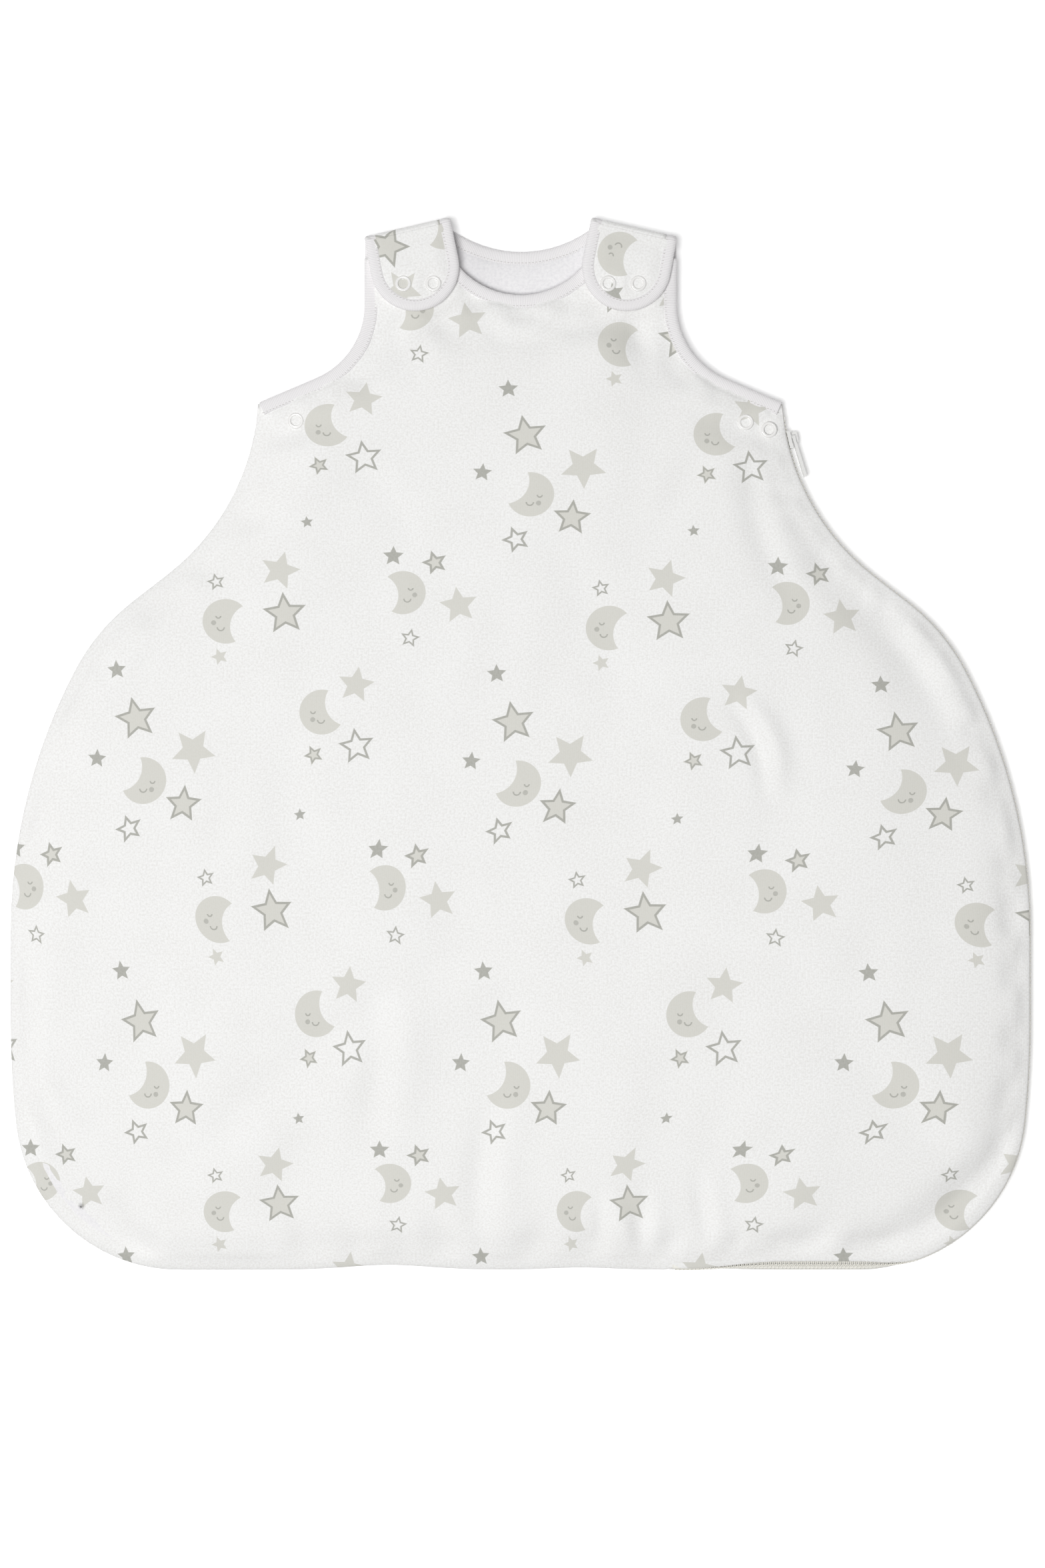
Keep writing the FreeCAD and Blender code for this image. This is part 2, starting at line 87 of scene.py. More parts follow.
# ---- nodes and colours --------------------------------------------------------------
def linear(hex_colour: str) -> tuple[float, float, float, float]:
    """Turn an sRGB hex colour into linear values.

    Args:
        hex_colour: Six hex digits, such as "f1f0ee".

    Returns:
        Red, green, blue and alpha.
    """
    channels = [int(hex_colour[i:i + 2], 16) / 255 for i in (0, 2, 4)]
    curve = [c / 12.92 if c <= 0.04045 else ((c + 0.055) / 1.055) ** 2.4 for c in channels]
    return (curve[0], curve[1], curve[2], 1.0)


def node(tree: Tree, kind: str, *values: object, **links: object) -> Sockets:
    """Add a node with its settings, values and links.

    Args:
        tree: The node tree to add to.
        kind: The node's type name, without ShaderNode, and after a dot its operation if any.
        *values: The inputs in order. A dict among them sets the node's own properties.
        **links: More inputs. The key is i and the input's number, or its name with
            underscores for spaces. A socket is linked, and any other value is set.

    Returns:
        The new node's outputs.
    """
    name, _, operation = kind.partition(".")
    made = tree.nodes.new(name if "Node" in name else f"ShaderNode{name}")
    settings = {"operation": operation} if operation else {}
    for more in (v for v in values if isinstance(v, dict)):
        settings.update(more)
    for setting, value in settings.items():
        setattr(made, setting, value)
    plain = [v for v in values if not isinstance(v, dict)]
    for key, value in [*enumerate(plain), *links.items()]:
        if isinstance(key, str):
            key = int(key[1:]) if key[0] == "i" and key[1:].isdigit() else key.replace("_", " ")
        if isinstance(value, Socket):
            tree.links.new(value, made.inputs[key])
        else:
            made.inputs[key].default_value = value
    return made.outputs


def blank_material(name: str) -> tuple[Material, Tree]:
    """Make an empty node material."""
    material = bpy.data.materials.new(name)
    material.use_nodes = True
    material.node_tree.nodes.clear()
    return material, material.node_tree


def two_tone(tree: Tree, share: Socket, low: tuple[float, str], high: tuple[float, str]
             ) -> Socket:
    """Run from one colour to another. Each is given with the share where it is pure."""
    made = node(tree, "ValToRGB", share)
    for element, (place, colour) in zip(made[0].node.color_ramp.elements, (low, high)):
        element.position, element.color = place, linear(colour)
    return made[0]


def cloth_surface(tree: Tree, colour: Socket, height: Socket, bump: tuple[float, float],
                  roughness: float, sheen: float) -> None:
    """Finish a cloth: matt, with the soft edge light of loose fibre.

    Args:
        tree: The material's tree.
        colour: The cloth's colour.
        height: The relief of its yarns.
        bump: The relief's strength and its depth in metres.
        roughness: The cloth's roughness.
        sheen: How much loose fibre stands off it.
    """
    relief = node(tree, "Bump", Strength=bump[0], Distance=bump[1], Height=height)[0]
    made = node(tree, "BsdfPrincipled", Base_Color=colour, Normal=relief)
    inputs = made[0].node.inputs
    inputs["Roughness"].default_value = roughness
    inputs["Sheen Weight"].default_value = sheen
    inputs["Sheen Roughness"].default_value = 0.5
    inputs["Specular IOR Level"].default_value = 0.2
    node(tree, "OutputMaterial", made[0])


# ---- finishes -------------------------------------------------------------------------
class Motif(Enum):
    """The kinds of printed shape."""

    LIGHT = "light star"
    DARK = "dark star"
    FILLED = "filled star with a dark edge"
    HOLLOW = "dark edge of a star alone"
    MOON = "sleeping crescent"


@dataclass(frozen=True)
class Printed:
    """One printed shape in the repeat. Places and sizes are in millimetres."""

    kind: Motif
    x: float
    y: float
    radius: float
    turn: float = 0.0


@dataclass(frozen=True)
class StarPrint:
    """The repeat of stars and sleeping crescents on the jersey.

    Each shape is worked out from its distance, so the print stays sharp at any size.
    """

    repeat_x: float = 250.0
    repeat_y: float = 197.0
    light: str = "d7d6cf"
    dark: str = "b0b0a9"
    shapes: tuple[Printed, ...] = (
        Printed(Motif.FILLED, -4.6, 14.5, 14.6, 12),
        Printed(Motif.DARK, -17, 47, 6.6, 4),
        Printed(Motif.DARK, -31.5, -12, 6.4, -4),
        Printed(Motif.LIGHT, 33.5, -6.5, 15.4, 40),
        Printed(Motif.MOON, 0, -26.5, 15.4, 152),
        Printed(Motif.FILLED, 27.5, -42, 12.8, -3),
        Printed(Motif.HOLLOW, -8, -58, 9.6, 22),
        Printed(Motif.LIGHT, -109, 38, 12.4, -8),
        Printed(Motif.MOON, -131, 19.5, 15.0, 21),
        Printed(Motif.HOLLOW, -107.5, -3, 12.4, 10),
        Printed(Motif.FILLED, -136, -9, 7.0, 26),
        Printed(Motif.DARK, -143, -48.5, 4.2, 8),
        Printed(Motif.HOLLOW, -201.5, 107, 6.8, 14),
        Printed(Motif.LIGHT, -160, 115, 13.4, -14),
        Printed(Motif.MOON, -195, 80, 15.2, -11),
        Printed(Motif.FILLED, -156.5, 85.5, 14.8, 6),
        Printed(Motif.LIGHT, -199, 56, 5.8, 20),
        Printed(Motif.DARK, -87, 126, 7.0, 0),
        Printed(Motif.FILLED, -60, 122, 8.6, 18),
        Printed(Motif.MOON, -80, 101, 14.8, 188),
        Printed(Motif.LIGHT, -43.5, 93, 12.8, 10),
        Printed(Motif.HOLLOW, -74.5, 70, 7.2, -10),
    )

    def local_point(self, tree: Tree, place: Socket,
                    shape: Printed) -> tuple[Socket, Socket]:
        """Where a point lies from the nearest copy of a shape, level and turned with it."""
        centre = (shape.x * MM, shape.y * MM, 0)
        away = node(tree, "VectorMath.SUBTRACT", i0=place, i1=centre)
        half = (self.repeat_x * MM / 2, self.repeat_y * MM / 2, 1)
        wrapped = node(tree, "VectorMath.WRAP",
                       i0=away[0], i1=half, i2=tuple(-h for h in half))
        turned = node(tree, "VectorRotate", {"rotation_type": "Z_AXIS"},
                      Vector=wrapped[0], Angle=-math.radians(shape.turn))
        return wrapped[0], turned[0]

    def star_distance(self, tree: Tree, point: Socket,
                      radius: float) -> Socket:
        """The distance inside (below 0) or outside a five-pointed star's edge."""
        hollow = 0.47
        fifth = math.radians(36)
        split = node(tree, "SeparateXYZ", i0=point)
        angle = node(tree, "Math.ARCTAN2", split[0], split[1])[0]
        folded = node(tree, "Math.PINGPONG", angle, fifth)[0]
        length = node(tree, "VectorMath.LENGTH", i0=point)[1]
        along = node(tree, "Math.MULTIPLY", length, node(tree, "Math.COSINE", folded)[0])[0]
        across = node(tree, "Math.MULTIPLY", length, node(tree, "Math.SINE", folded)[0])[0]
        notch = (radius * hollow * math.cos(fifth), radius * hollow * math.sin(fifth))
        edge = (notch[0] - radius, notch[1])
        size = math.hypot(*edge)
        normal = (edge[1] / size, -edge[0] / size)
        from_tip = node(tree, "Math.SUBTRACT", along, radius)[0]
        slant = node(tree, "Math.MULTIPLY", from_tip, normal[0])[0]
        return node(tree, "Math.MULTIPLY_ADD", across, normal[1], slant)[0]

    def circle(self, tree: Tree, point: Socket, x: float, y: float,
               radius: float) -> Socket:
        """The distance inside (below 0) or outside a circle."""
        reach = node(tree, "VectorMath.DISTANCE",
                     i0=point, i1=(x, y, 0))[1]
        return node(tree, "Math.SUBTRACT", reach, radius)[0]

    def moon_distance(self, tree: Tree, point: Socket,
                      radius: float) -> Socket:
        """The distance inside a crescent that opens along its own +X."""
        whole = self.circle(tree, point, 0, 0, radius)
        bite = self.circle(tree, point, radius * 1.25, 0, radius * 1.04)
        return node(tree, "Math.MAXIMUM", whole, node(tree, "Math.MULTIPLY", bite, -1.0)[0])[0]

    def ink(self, tree: Tree, distance: Socket,
            soft: float = 0.25 * MM) -> Socket:
        """Full ink inside an edge, with the slight spread of ink into cloth."""
        spread = node(tree, "MapRange", {"interpolation_type": "SMOOTHSTEP"},
                      i0=distance, i1=soft, i2=-soft, i3=0.0, i4=1.0)
        return spread[0]

    def line(self, tree: Tree, distance: Socket, half: float
             ) -> Socket:
        """Ink along an edge."""
        off = node(tree, "Math.SUBTRACT", node(tree, "Math.ABSOLUTE", distance)[0], half)[0]
        return self.ink(tree, off)

    def face(self, tree: Tree, level: Socket, shape: Printed
             ) -> Socket:
        """A plain sleeping face: a shut eye, a cheek and a small smile, always upright."""
        radius, turn = shape.radius * MM, math.radians(shape.turn)
        flip = 1 if math.cos(turn) > 0 else -1
        centres = []
        for out, side in ((-0.36, 0.17), (-0.50, -0.17), (-0.16, -0.31)):
            side *= flip
            centres.append((radius * (out * math.cos(turn) - side * math.sin(turn)),
                            radius * (out * math.sin(turn) + side * math.cos(turn))))
        height = node(tree, "SeparateXYZ", i0=level)[1]
        marks = []
        for (x, y), size in ((centres[0], 0.10), (centres[2], 0.15)):
            arc = self.circle(tree, level, x, y, size * radius)
            below = node(tree, "Math.LESS_THAN", height, y)[0]
            line = self.line(tree, arc, radius * 0.030)
            marks.append(node(tree, "Math.MULTIPLY", line, below)[0])
        cheek = self.circle(tree, level, *centres[1], 0.11 * radius)
        marks.append(node(tree, "Math.MULTIPLY", self.ink(tree, cheek), 0.75)[0])
        drawn = node(tree, "Math.MAXIMUM", marks[0], marks[1])[0]
        return node(tree, "Math.MAXIMUM", drawn, marks[2])[0]

    def masks(self, tree: Tree, place: Socket
              ) -> tuple[Socket, Socket]:
        """How much light and dark ink lies at a place.

        Args:
            tree: The material's tree.
            place: The place on the flat cloth, in metres.

        Returns:
            The light ink and the dark ink, each 0 to 1.
        """
        edge = 0.75 * MM
        light: list[Socket] = []
        dark: list[Socket] = []
        for shape in self.shapes:
            level, point = self.local_point(tree, place, shape)
            radius = shape.radius * MM
            if shape.kind is Motif.MOON:
                light.append(self.ink(tree, self.moon_distance(tree, point, radius)))
                dark.append(self.face(tree, level, shape))
                continue
            distance = self.star_distance(tree, point, radius)
            if shape.kind in (Motif.LIGHT, Motif.FILLED):
                light.append(self.ink(tree, distance))
            if shape.kind is Motif.DARK:
                dark.append(self.ink(tree, distance))
            if shape.kind in (Motif.FILLED, Motif.HOLLOW):
                inner = node(tree, "Math.ADD", distance, edge)[0]
                dark.append(self.line(tree, inner, edge * (1.0 if radius > 0.008 else 0.7)))
        totals = []
        for layer in (light, dark):
            total = layer[0]
            for more in layer[1:]:
                total = node(tree, "Math.MAXIMUM", total, more)[0]
            totals.append(total)
        return totals[0], totals[1]


@dataclass(frozen=True)
class Jersey:
    """Combed cotton jersey, knitted: matt, with a soft bloom of loose fibre.

    Real wales are 0.7 mm apart. They are drawn 1.4 mm apart so that they show as grain.
    """

    name: str
    colour: str
    shade: str
    printed: StarPrint | None = None
    grain: float = 1.4 * MM
    roughness: float = 0.92
    bump: float = 0.16

    def build(self) -> Material:
        """Make the material. It reads the cloth's own UV map, which is in metres."""
        material, tree = blank_material(self.name)
        place = node(tree, "UVMap", {"uv_map": "cloth"})[0]
        speckle = node(tree, "TexNoise", {"noise_dimensions": "2D"}, Vector=place,
                       Scale=1 / self.grain, Detail=3.0, Roughness=0.6)[0]
        blotch = node(tree, "TexNoise", {"noise_dimensions": "2D"}, Vector=place,
                      Scale=1 / 0.035, Detail=2.0)[0]
        fine = node(tree, "Math.MULTIPLY", speckle, 0.88)[0]
        mixed = node(tree, "Math.MULTIPLY_ADD", blotch, 0.12, fine)[0]
        colour = two_tone(tree, mixed, (0.3, self.shade), (0.62, self.colour))
        if self.printed:
            light, dark = self.printed.masks(tree, place)
            worn = node(tree, "Math.MULTIPLY_ADD", speckle, 0.35, 0.78)[0]
            for mask, ink in ((light, self.printed.light), (dark, self.printed.dark)):
                thick = node(tree, "Math.MULTIPLY", mask, worn)[0]
                amount = node(tree, "Math.MINIMUM", thick, 1.0)[0]
                mix = node(tree, "Mix", {"data_type": "RGBA"}, i0=amount, i6=colour,
                           i7=linear(ink))
                colour = mix[2]
        wales = node(tree, "TexWave", {"bands_direction": "X"}, Vector=place,
                     Scale=0.314 / self.grain, Distortion=1.5, Detail=1.0)[1]
        height = node(tree, "Math.MULTIPLY_ADD", wales, 0.35, speckle)[0]
        cloth_surface(tree, colour, height, (self.bump, 0.4 * MM), self.roughness, 0.25)
        return material


@dataclass(frozen=True)
class Woven:
    """Rib knit, woven tape or thread: matt yarns across the strip, with painted shade in their
    grooves.
    """

    name: str
    colour: str
    # shade is the colour of the painted shade that fills the grooves between the yarns
    shade: str
    yarn: float = 0.9 * MM
    bump: float = 0.3

    def build(self) -> Material:
        """Make the material. It reads the strip's UV map: along it, then across, in metres."""
        material, tree = blank_material(self.name)
        place = node(tree, "UVMap", {"uv_map": "cloth"})[0]
        ribs = node(tree, "TexWave", {"bands_direction": "X"}, Vector=place,
                    Scale=0.314 / self.yarn, Distortion=0.6, Detail=1.0)[1]
        fuzz = node(tree, "TexNoise", {"noise_dimensions": "2D"}, Vector=place,
                    Scale=1 / (self.yarn * 0.8), Detail=2.0)[0]
        loose = node(tree, "Math.MULTIPLY", fuzz, 0.4)[0]
        mixed = node(tree, "Math.MULTIPLY_ADD", ribs, 0.6, loose)[0]
        # Painted shade: the darker colour follows the low parts of the ribs, the grooves, mixed
        # with the yarn's random fuzz
        colour = two_tone(tree, mixed, (0.2, self.shade), (0.7, self.colour))
        cloth_surface(tree, colour, mixed, (self.bump, 0.3 * MM), 0.9, 0.2)
        return material


@dataclass(frozen=True)
class Hard:
    """Enamel, lacquer or moulded nylon: a hard skin with faint handling marks.

    The marks are 2.2 mm clouds in the gloss, about the size of a fingertip's rub on a popper.
    """

    name: str
    colour: str
    roughness: float
    metallic: float = 0.0
    ior: float = 1.5
    coat: float = 0.0
    mark: float = 0.12

    def build(self) -> Material:
        """Make the material. It reads Object coordinates."""
        material, tree = blank_material(self.name)
        place = node(tree, "TexCoord")["Object"]
        cloudy = node(tree, "TexNoise", Vector=place, Scale=1 / (2.2 * MM),
                      Detail=3.0)[0]
        rough = node(tree, "MapRange", i0=cloudy, i1=0.3, i2=0.7,
                     i3=self.roughness - self.mark / 2, i4=self.roughness + self.mark / 2)
        darker = tuple(c * 0.93 for c in linear(self.colour)[:3]) + (1.0,)
        tint = node(tree, "Mix", {"data_type": "RGBA"}, i0=cloudy,
                    i6=linear(self.colour), i7=darker)
        bump = node(tree, "Bump", Strength=0.08, Distance=0.05 * MM,
                    Height=cloudy)
        shader = node(tree, "BsdfPrincipled", Base_Color=tint[2],
                      Roughness=rough[0], Normal=bump[0])[0].node
        shader.inputs["Metallic"].default_value = self.metallic
        shader.inputs["IOR"].default_value = self.ior
        shader.inputs["Coat Weight"].default_value = self.coat
        node(tree, "OutputMaterial", i0=shader.outputs[0])
        return material


@dataclass
class Wardrobe:
    """Every finish of the bag, built once."""

    shell: Material = field(init=False)
    lining: Material = field(init=False)
    rib: Material = field(init=False)
    thread: Material = field(init=False)
    tape: Material = field(init=False)
    coil: Material = field(init=False)
    enamel: Material = field(init=False)
    lacquer: Material = field(init=False)

    def __post_init__(self) -> None:
        """Build the materials."""
        # Brushed cotton jersey, screen printed: matt white with a fine knitted grain.
        self.shell = Jersey("printed_jersey", "f6f6f5", "e9e8e6", StarPrint()).build()
        # Plain cotton jersey: as matt, a little cooler, with a coarser grain.
        self.lining = Jersey("lining_jersey", "f2f1f2", "e7e6e8", None, 1.8 * MM).build()
        # Cotton rib, 1.1 mm wales across the strip: its grooves darkened with painted shade, with
        # a pinkish tint.
        self.rib = Woven("rib_binding", "f3f2f2", "e4e1e3", 1.1 * MM, 0.35).build()
        # Spun polyester thread, pulled into the cloth: reads as a fine grey line, with painted
        # shade between its twists.
        self.thread = Woven("sewing_thread", "dcdad8", "bdbab8", 0.5 * MM).build()
        # Polyester zip tape, woven tight: warmer than the cotton and slightly ridged, with
        # painted shade in the grooves.
        self.tape = Woven("zip_tape", "f5f4ef", "e6e4da", 0.7 * MM).build()
        # Nylon monofilament, heat set into loops: translucent off-white, half gloss.
        self.coil = Hard("nylon_coil", "f6f4ec", 0.38, ior=1.53).build()
        # Stove enamel on brass rings: clean white with a clear gloss over it.
        self.enamel = Hard("white_enamel", "f2f1ef", 0.3, ior=1.52, coat=0.4).build()
        # Lacquered die-cast zinc: a slightly greyer white, glossy, dark only in its gaps.
        self.lacquer = Hard("slider_lacquer", "ebebe9", 0.26, ior=1.52, coat=0.6).build()


# ---- lines and meshes ------------------------------------------------------------------
class Edge(Enum):
    """What closes the bag at each stretch of its outline."""

    SEAM = "seam"
    ZIP = "zip"
    BOUND = "binding"
    SHOULDER = "shoulder"


@dataclass(frozen=True)
class Run:
    """A run of points in plan, in metres, with the cloth on its left."""

    points: Array
    kind: Edge = Edge.BOUND

    @property
    def steps(self) -> Array:
        """The distance of each point along the run."""
        gaps = np.hypot(*np.diff(self.points, axis=0).T)
        return np.concatenate([[0.0], np.cumsum(gaps)])

    @property
    def length(self) -> float:
        """The whole length of the run."""
        return float(self.steps[-1])

    def at(self, places: Array) -> "Run":
        """The run's points at given distances along it."""
        x, y = (np.interp(places, self.steps, self.points[:, i]) for i in (0, 1))
        return Run(np.stack([x, y], 1), self.kind)

    def spaced(self, step: float) -> "Run":
        """The same run with even spacing.

        Args:
            step: The distance between points, in metres.

        Returns:
            The new run.
        """
        return self.at(np.linspace(0, self.length, max(2, round(self.length / step) + 1)))

    def inward(self, smooth: int = 2) -> Array:
        """Unit vectors that point into the cloth, one for each point."""
        along = np.gradient(self.points, axis=0)
        for _ in range(smooth):
            along[1:-1] = (along[:-2] + 2 * along[1:-1] + along[2:]) / 4
        along /= np.hypot(*along.T)[:, None]
        return np.stack([-along[:, 1], along[:, 0]], 1)

    def moved(self, inset: float) -> "Run":
        """The run moved into the cloth by a distance."""
        return Run(self.points + self.inward() * inset, self.kind)

    def part(self, start: float, end: float) -> "Run":
        """The stretch between two distances along the run."""
        steps = self.steps
        inside = (steps > start + 1e-5) & (steps < end - 1e-5)
        return self.at(np.concatenate([[start], steps[inside], [end]]))


def loose_ends_joined(edges: list[tuple[int, int]]) -> list[list[int]]:
    """Chain undirected edges into closed loops of vertex numbers."""
    near: dict[int, list[int]] = {}
    for a, b in edges:
        near.setdefault(a, []).append(b)
        near.setdefault(b, []).append(a)
    loops, seen = [], set()
    for start in near:
        if start in seen:
            continue
        loop, here, last = [start], near[start][0], start
        seen.add(start)
        while here != start and here not in seen:
            loop.append(here)
            seen.add(here)
            onward = [n for n in near[here] if n != last]
            last, here = here, onward[0]
        loops.append(loop)
    return loops


def rim_of(part: Piece, top: bool = True) -> Array:
    """Read the outline of a flat CAD layer.

    Args:
        part: The CAD node.
        top: Whether to read the upper face or the lower one.

    Returns:
        The longest loop of that face, counter-clockwise, in plan.
    """
    mesh = bmesh.new()
    mesh.from_mesh(part.data)
    bmesh.ops.remove_doubles(mesh, verts=mesh.verts, dist=1e-6)
    heights = [v.co.z for v in mesh.verts]
    level = max(heights) if top else min(heights)
    flat = {f for f in mesh.faces if all(abs(v.co.z - level) < 2e-5 for v in f.verts)}
    edges = [(e.verts[0].index, e.verts[1].index) for e in mesh.edges
             if sum(f in flat for f in e.link_faces) == 1]
    mesh.verts.ensure_lookup_table()
    places = np.array([v.co[:2] for v in mesh.verts])
    mesh.free()
    loops = [places[loop] for loop in loose_ends_joined(edges)]
    longest = max(loops, key=lambda p: np.hypot(*(np.roll(p, -1, 0) - p).T).sum())
    x, y = longest.T
    area = (x * np.roll(y, -1) - np.roll(x, -1) * y).sum()
    return longest if area > 0 else longest[::-1]


def split_at_corners(loop: Array, least: float = 24.0) -> list[Run]:
    """Cut a closed loop at its corners.

    Args:
        loop: The loop's points.
        least: The turn, in degrees, that counts as a corner.

    Returns:
        The runs between corners, in order.
    """
    keep = np.hypot(*(np.roll(loop, -1, 0) - loop).T) > 0.0004
    loop = loop[keep]
    ahead = np.roll(loop, -1, 0) - loop
    heading = np.arctan2(ahead[:, 1], ahead[:, 0])
    turn = np.degrees(np.angle(np.exp(1j * (heading - np.roll(heading, 1)))))
    corners = np.nonzero(np.abs(turn) > least)[0]
    runs = []
    for a, b in zip(corners, np.roll(corners, -1)):
        end = b if b > a else b + len(loop)
        runs.append(Run(loop[np.arange(a, end + 1) % len(loop)]))
    return runs


def make_piece(name: str, vertices: Array, faces: list[tuple[int, ...]],
               cloth: list[tuple[float, float]] | Array, *materials: Material
               ) -> Piece:
    """Make a smooth mesh object at the origin.

    Args:
        name: The piece's name.
        vertices: Its points, in metres.
        faces: Vertex numbers of each face.
        cloth: Where each face corner lies on the flat cloth, in metres.
        *materials: Its materials.

    Returns:
        The object.
    """
    mesh = bpy.data.meshes.new(name)
    mesh.from_pydata(np.asarray(vertices).tolist(), [], faces)
    layer = mesh.uv_layers.new(name="cloth")
    layer.data.foreach_set("uv", np.asarray(cloth, dtype=np.float32).ravel())
    for material in materials:
        mesh.materials.append(material)
    mesh.polygons.foreach_set("use_smooth", [True] * len(mesh.polygons))
    mesh.validate()
    piece = bpy.data.objects.new(name, mesh)
    bpy.context.collection.objects.link(piece)
    return piece


def skin(name: str, sections: Array, cloth_at: Array, material: Material, fan: float = 0.0
         ) -> Piece:
    """Skin a closed section along a line and close both ends.

    Args:
        name: The piece's name.
        sections: Section points, as an array of (place, point, xyz).
        cloth_at: Where each lies on the flat cloth, with the first of each section repeated.
        material: Its material.
        fan: How far the closing faces' corners step along the cloth.

    Returns:
        The object.
    """
    rows, ring = sections.shape[:2]
    faces, cloth = [], []
    for row in range(rows - 1):
        for point in range(ring):
            a, b = row * ring + point, row * ring + (point + 1) % ring
            faces.append((a, b, b + ring, a + ring))
            cloth += [cloth_at[row, point], cloth_at[row, point + 1],
                      cloth_at[row + 1, point + 1], cloth_at[row + 1, point]]
    for row, order in ((0, range(ring - 1, -1, -1)), (rows - 1, range(ring))):
        faces.append(tuple(row * ring + point for point in order))
        cloth += [cloth_at[row, point] + (fan * point, 0) for point in order]
    return merged(make_piece(name, sections.reshape(-1, 3), faces, cloth, material))


def sweep(name: str, sections: Array, material: Material, along: Array, across: Array) -> Piece:
    """Skin a strip whose flat cloth runs evenly along and across it."""
    flat = np.stack(np.meshgrid(along, across, indexing="ij"), -1)
    return skin(name, sections, flat, material, 0.2 * MM)


def merged(piece: Piece, reach: float = 1e-6, outward: bool = True) -> Piece:
    """Merge doubled points, and point every face outwards where asked."""
    mesh = bmesh.new()
    mesh.from_mesh(piece.data)
    bmesh.ops.remove_doubles(mesh, verts=mesh.verts, dist=reach)
    if outward:
        bmesh.ops.recalc_face_normals(mesh, faces=mesh.faces)
    mesh.to_mesh(piece.data)
    mesh.free()
    return piece


def fit(piece: Piece, slot: str, *nodes: str, body: str = "", fill: float = 0.0) -> None:
    """Attach a piece to its body and hide the CAD nodes that it stands for.

    Args:
        piece: The piece.
        slot: The name of a record slot. Not used.
        *nodes: The CAD nodes that it stands for.
        body: The body that it rides on; with none given, the piece is left unattached.
        fill: How full a padded piece is. Not used.
    """
    if body:
        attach(piece, body)
    if nodes:
        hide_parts(*nodes)


def distances(points: Array) -> Array:
    """How far along a line each of its points lies."""
    return np.concatenate([[0.0], np.cumsum(np.linalg.norm(np.diff(points, axis=0), axis=1))])


def smoothstep(low: float, high: float, value: Array) -> Array:
    """Ease from 0 at low to 1 at high."""
    t = np.clip((value - low) / (high - low), 0, 1)
    return t * t * (3 - 2 * t)


def ripple(place: Array, wavelength: float, seed: int, waves: int = 7,
           stretch: float = 1.0) -> Array:
    """Soft, seeded unevenness between about -1 and 1, drawn out along Y by stretch."""
    rng = np.random.default_rng(seed)
    place = place * np.array([1.0, 1.0 / stretch])
    total = np.zeros(len(place))
    for _ in range(waves):
        angle = rng.uniform(0, 2 * math.pi)
        size = wavelength * rng.uniform(0.7, 1.5)
        phase = rng.uniform(0, 2 * math.pi)
        direction = np.array([math.cos(angle), math.sin(angle)])
        total += np.sin(place @ direction * 2 * math.pi / size + phase)
    return total / math.sqrt(waves * 2)


@dataclass(frozen=True)
class Fold:
    """A soft crease in the cloth, in millimetres. Depth is below 0 for a valley."""

    start: tuple[float, float]
    end: tuple[float, float]
    width: float
    depth: float
    lean: float = 0.5
    bend: float = 0.0

    def height(self, place: Array) -> Array:
        """How far the crease lifts or sinks each place, in metres."""
        a, b = np.array(self.start) * MM, np.array(self.end) * MM
        run = b - a
        length = np.hypot(*run)
        along = (place - a) @ run / length
        side = (place - a) @ np.array([-run[1], run[0]]) / length
        share = np.clip(along / length, 0, 1)
        side = side - self.bend * MM * 4 * share * (1 - share)
        beyond = np.maximum(np.maximum(-along, along - length), 0)
        width = self.width * MM
        fade = np.exp(-(beyond / (width * 1.4)) ** 2) * (0.35 + 0.65 * np.sin(math.pi * share))
        body = np.exp(-(side / width) ** 2)
        shoulder = np.exp(-((side - width * 1.7) / (width * 1.3)) ** 2)
        return self.depth * MM * fade * (body - self.lean * shoulder)


def hem_bump(place: Array) -> Array:
    """The soft waves in the hem's line, from 0 to 1, at each place."""
    x, y = place[:, 0], place[:, 1]
    wave = np.exp(-((x + 0.088) / 0.038) ** 2) + 0.45 * np.exp(-((x - 0.04) / 0.03) ** 2)
    return wave * (y < HEM_LINE)


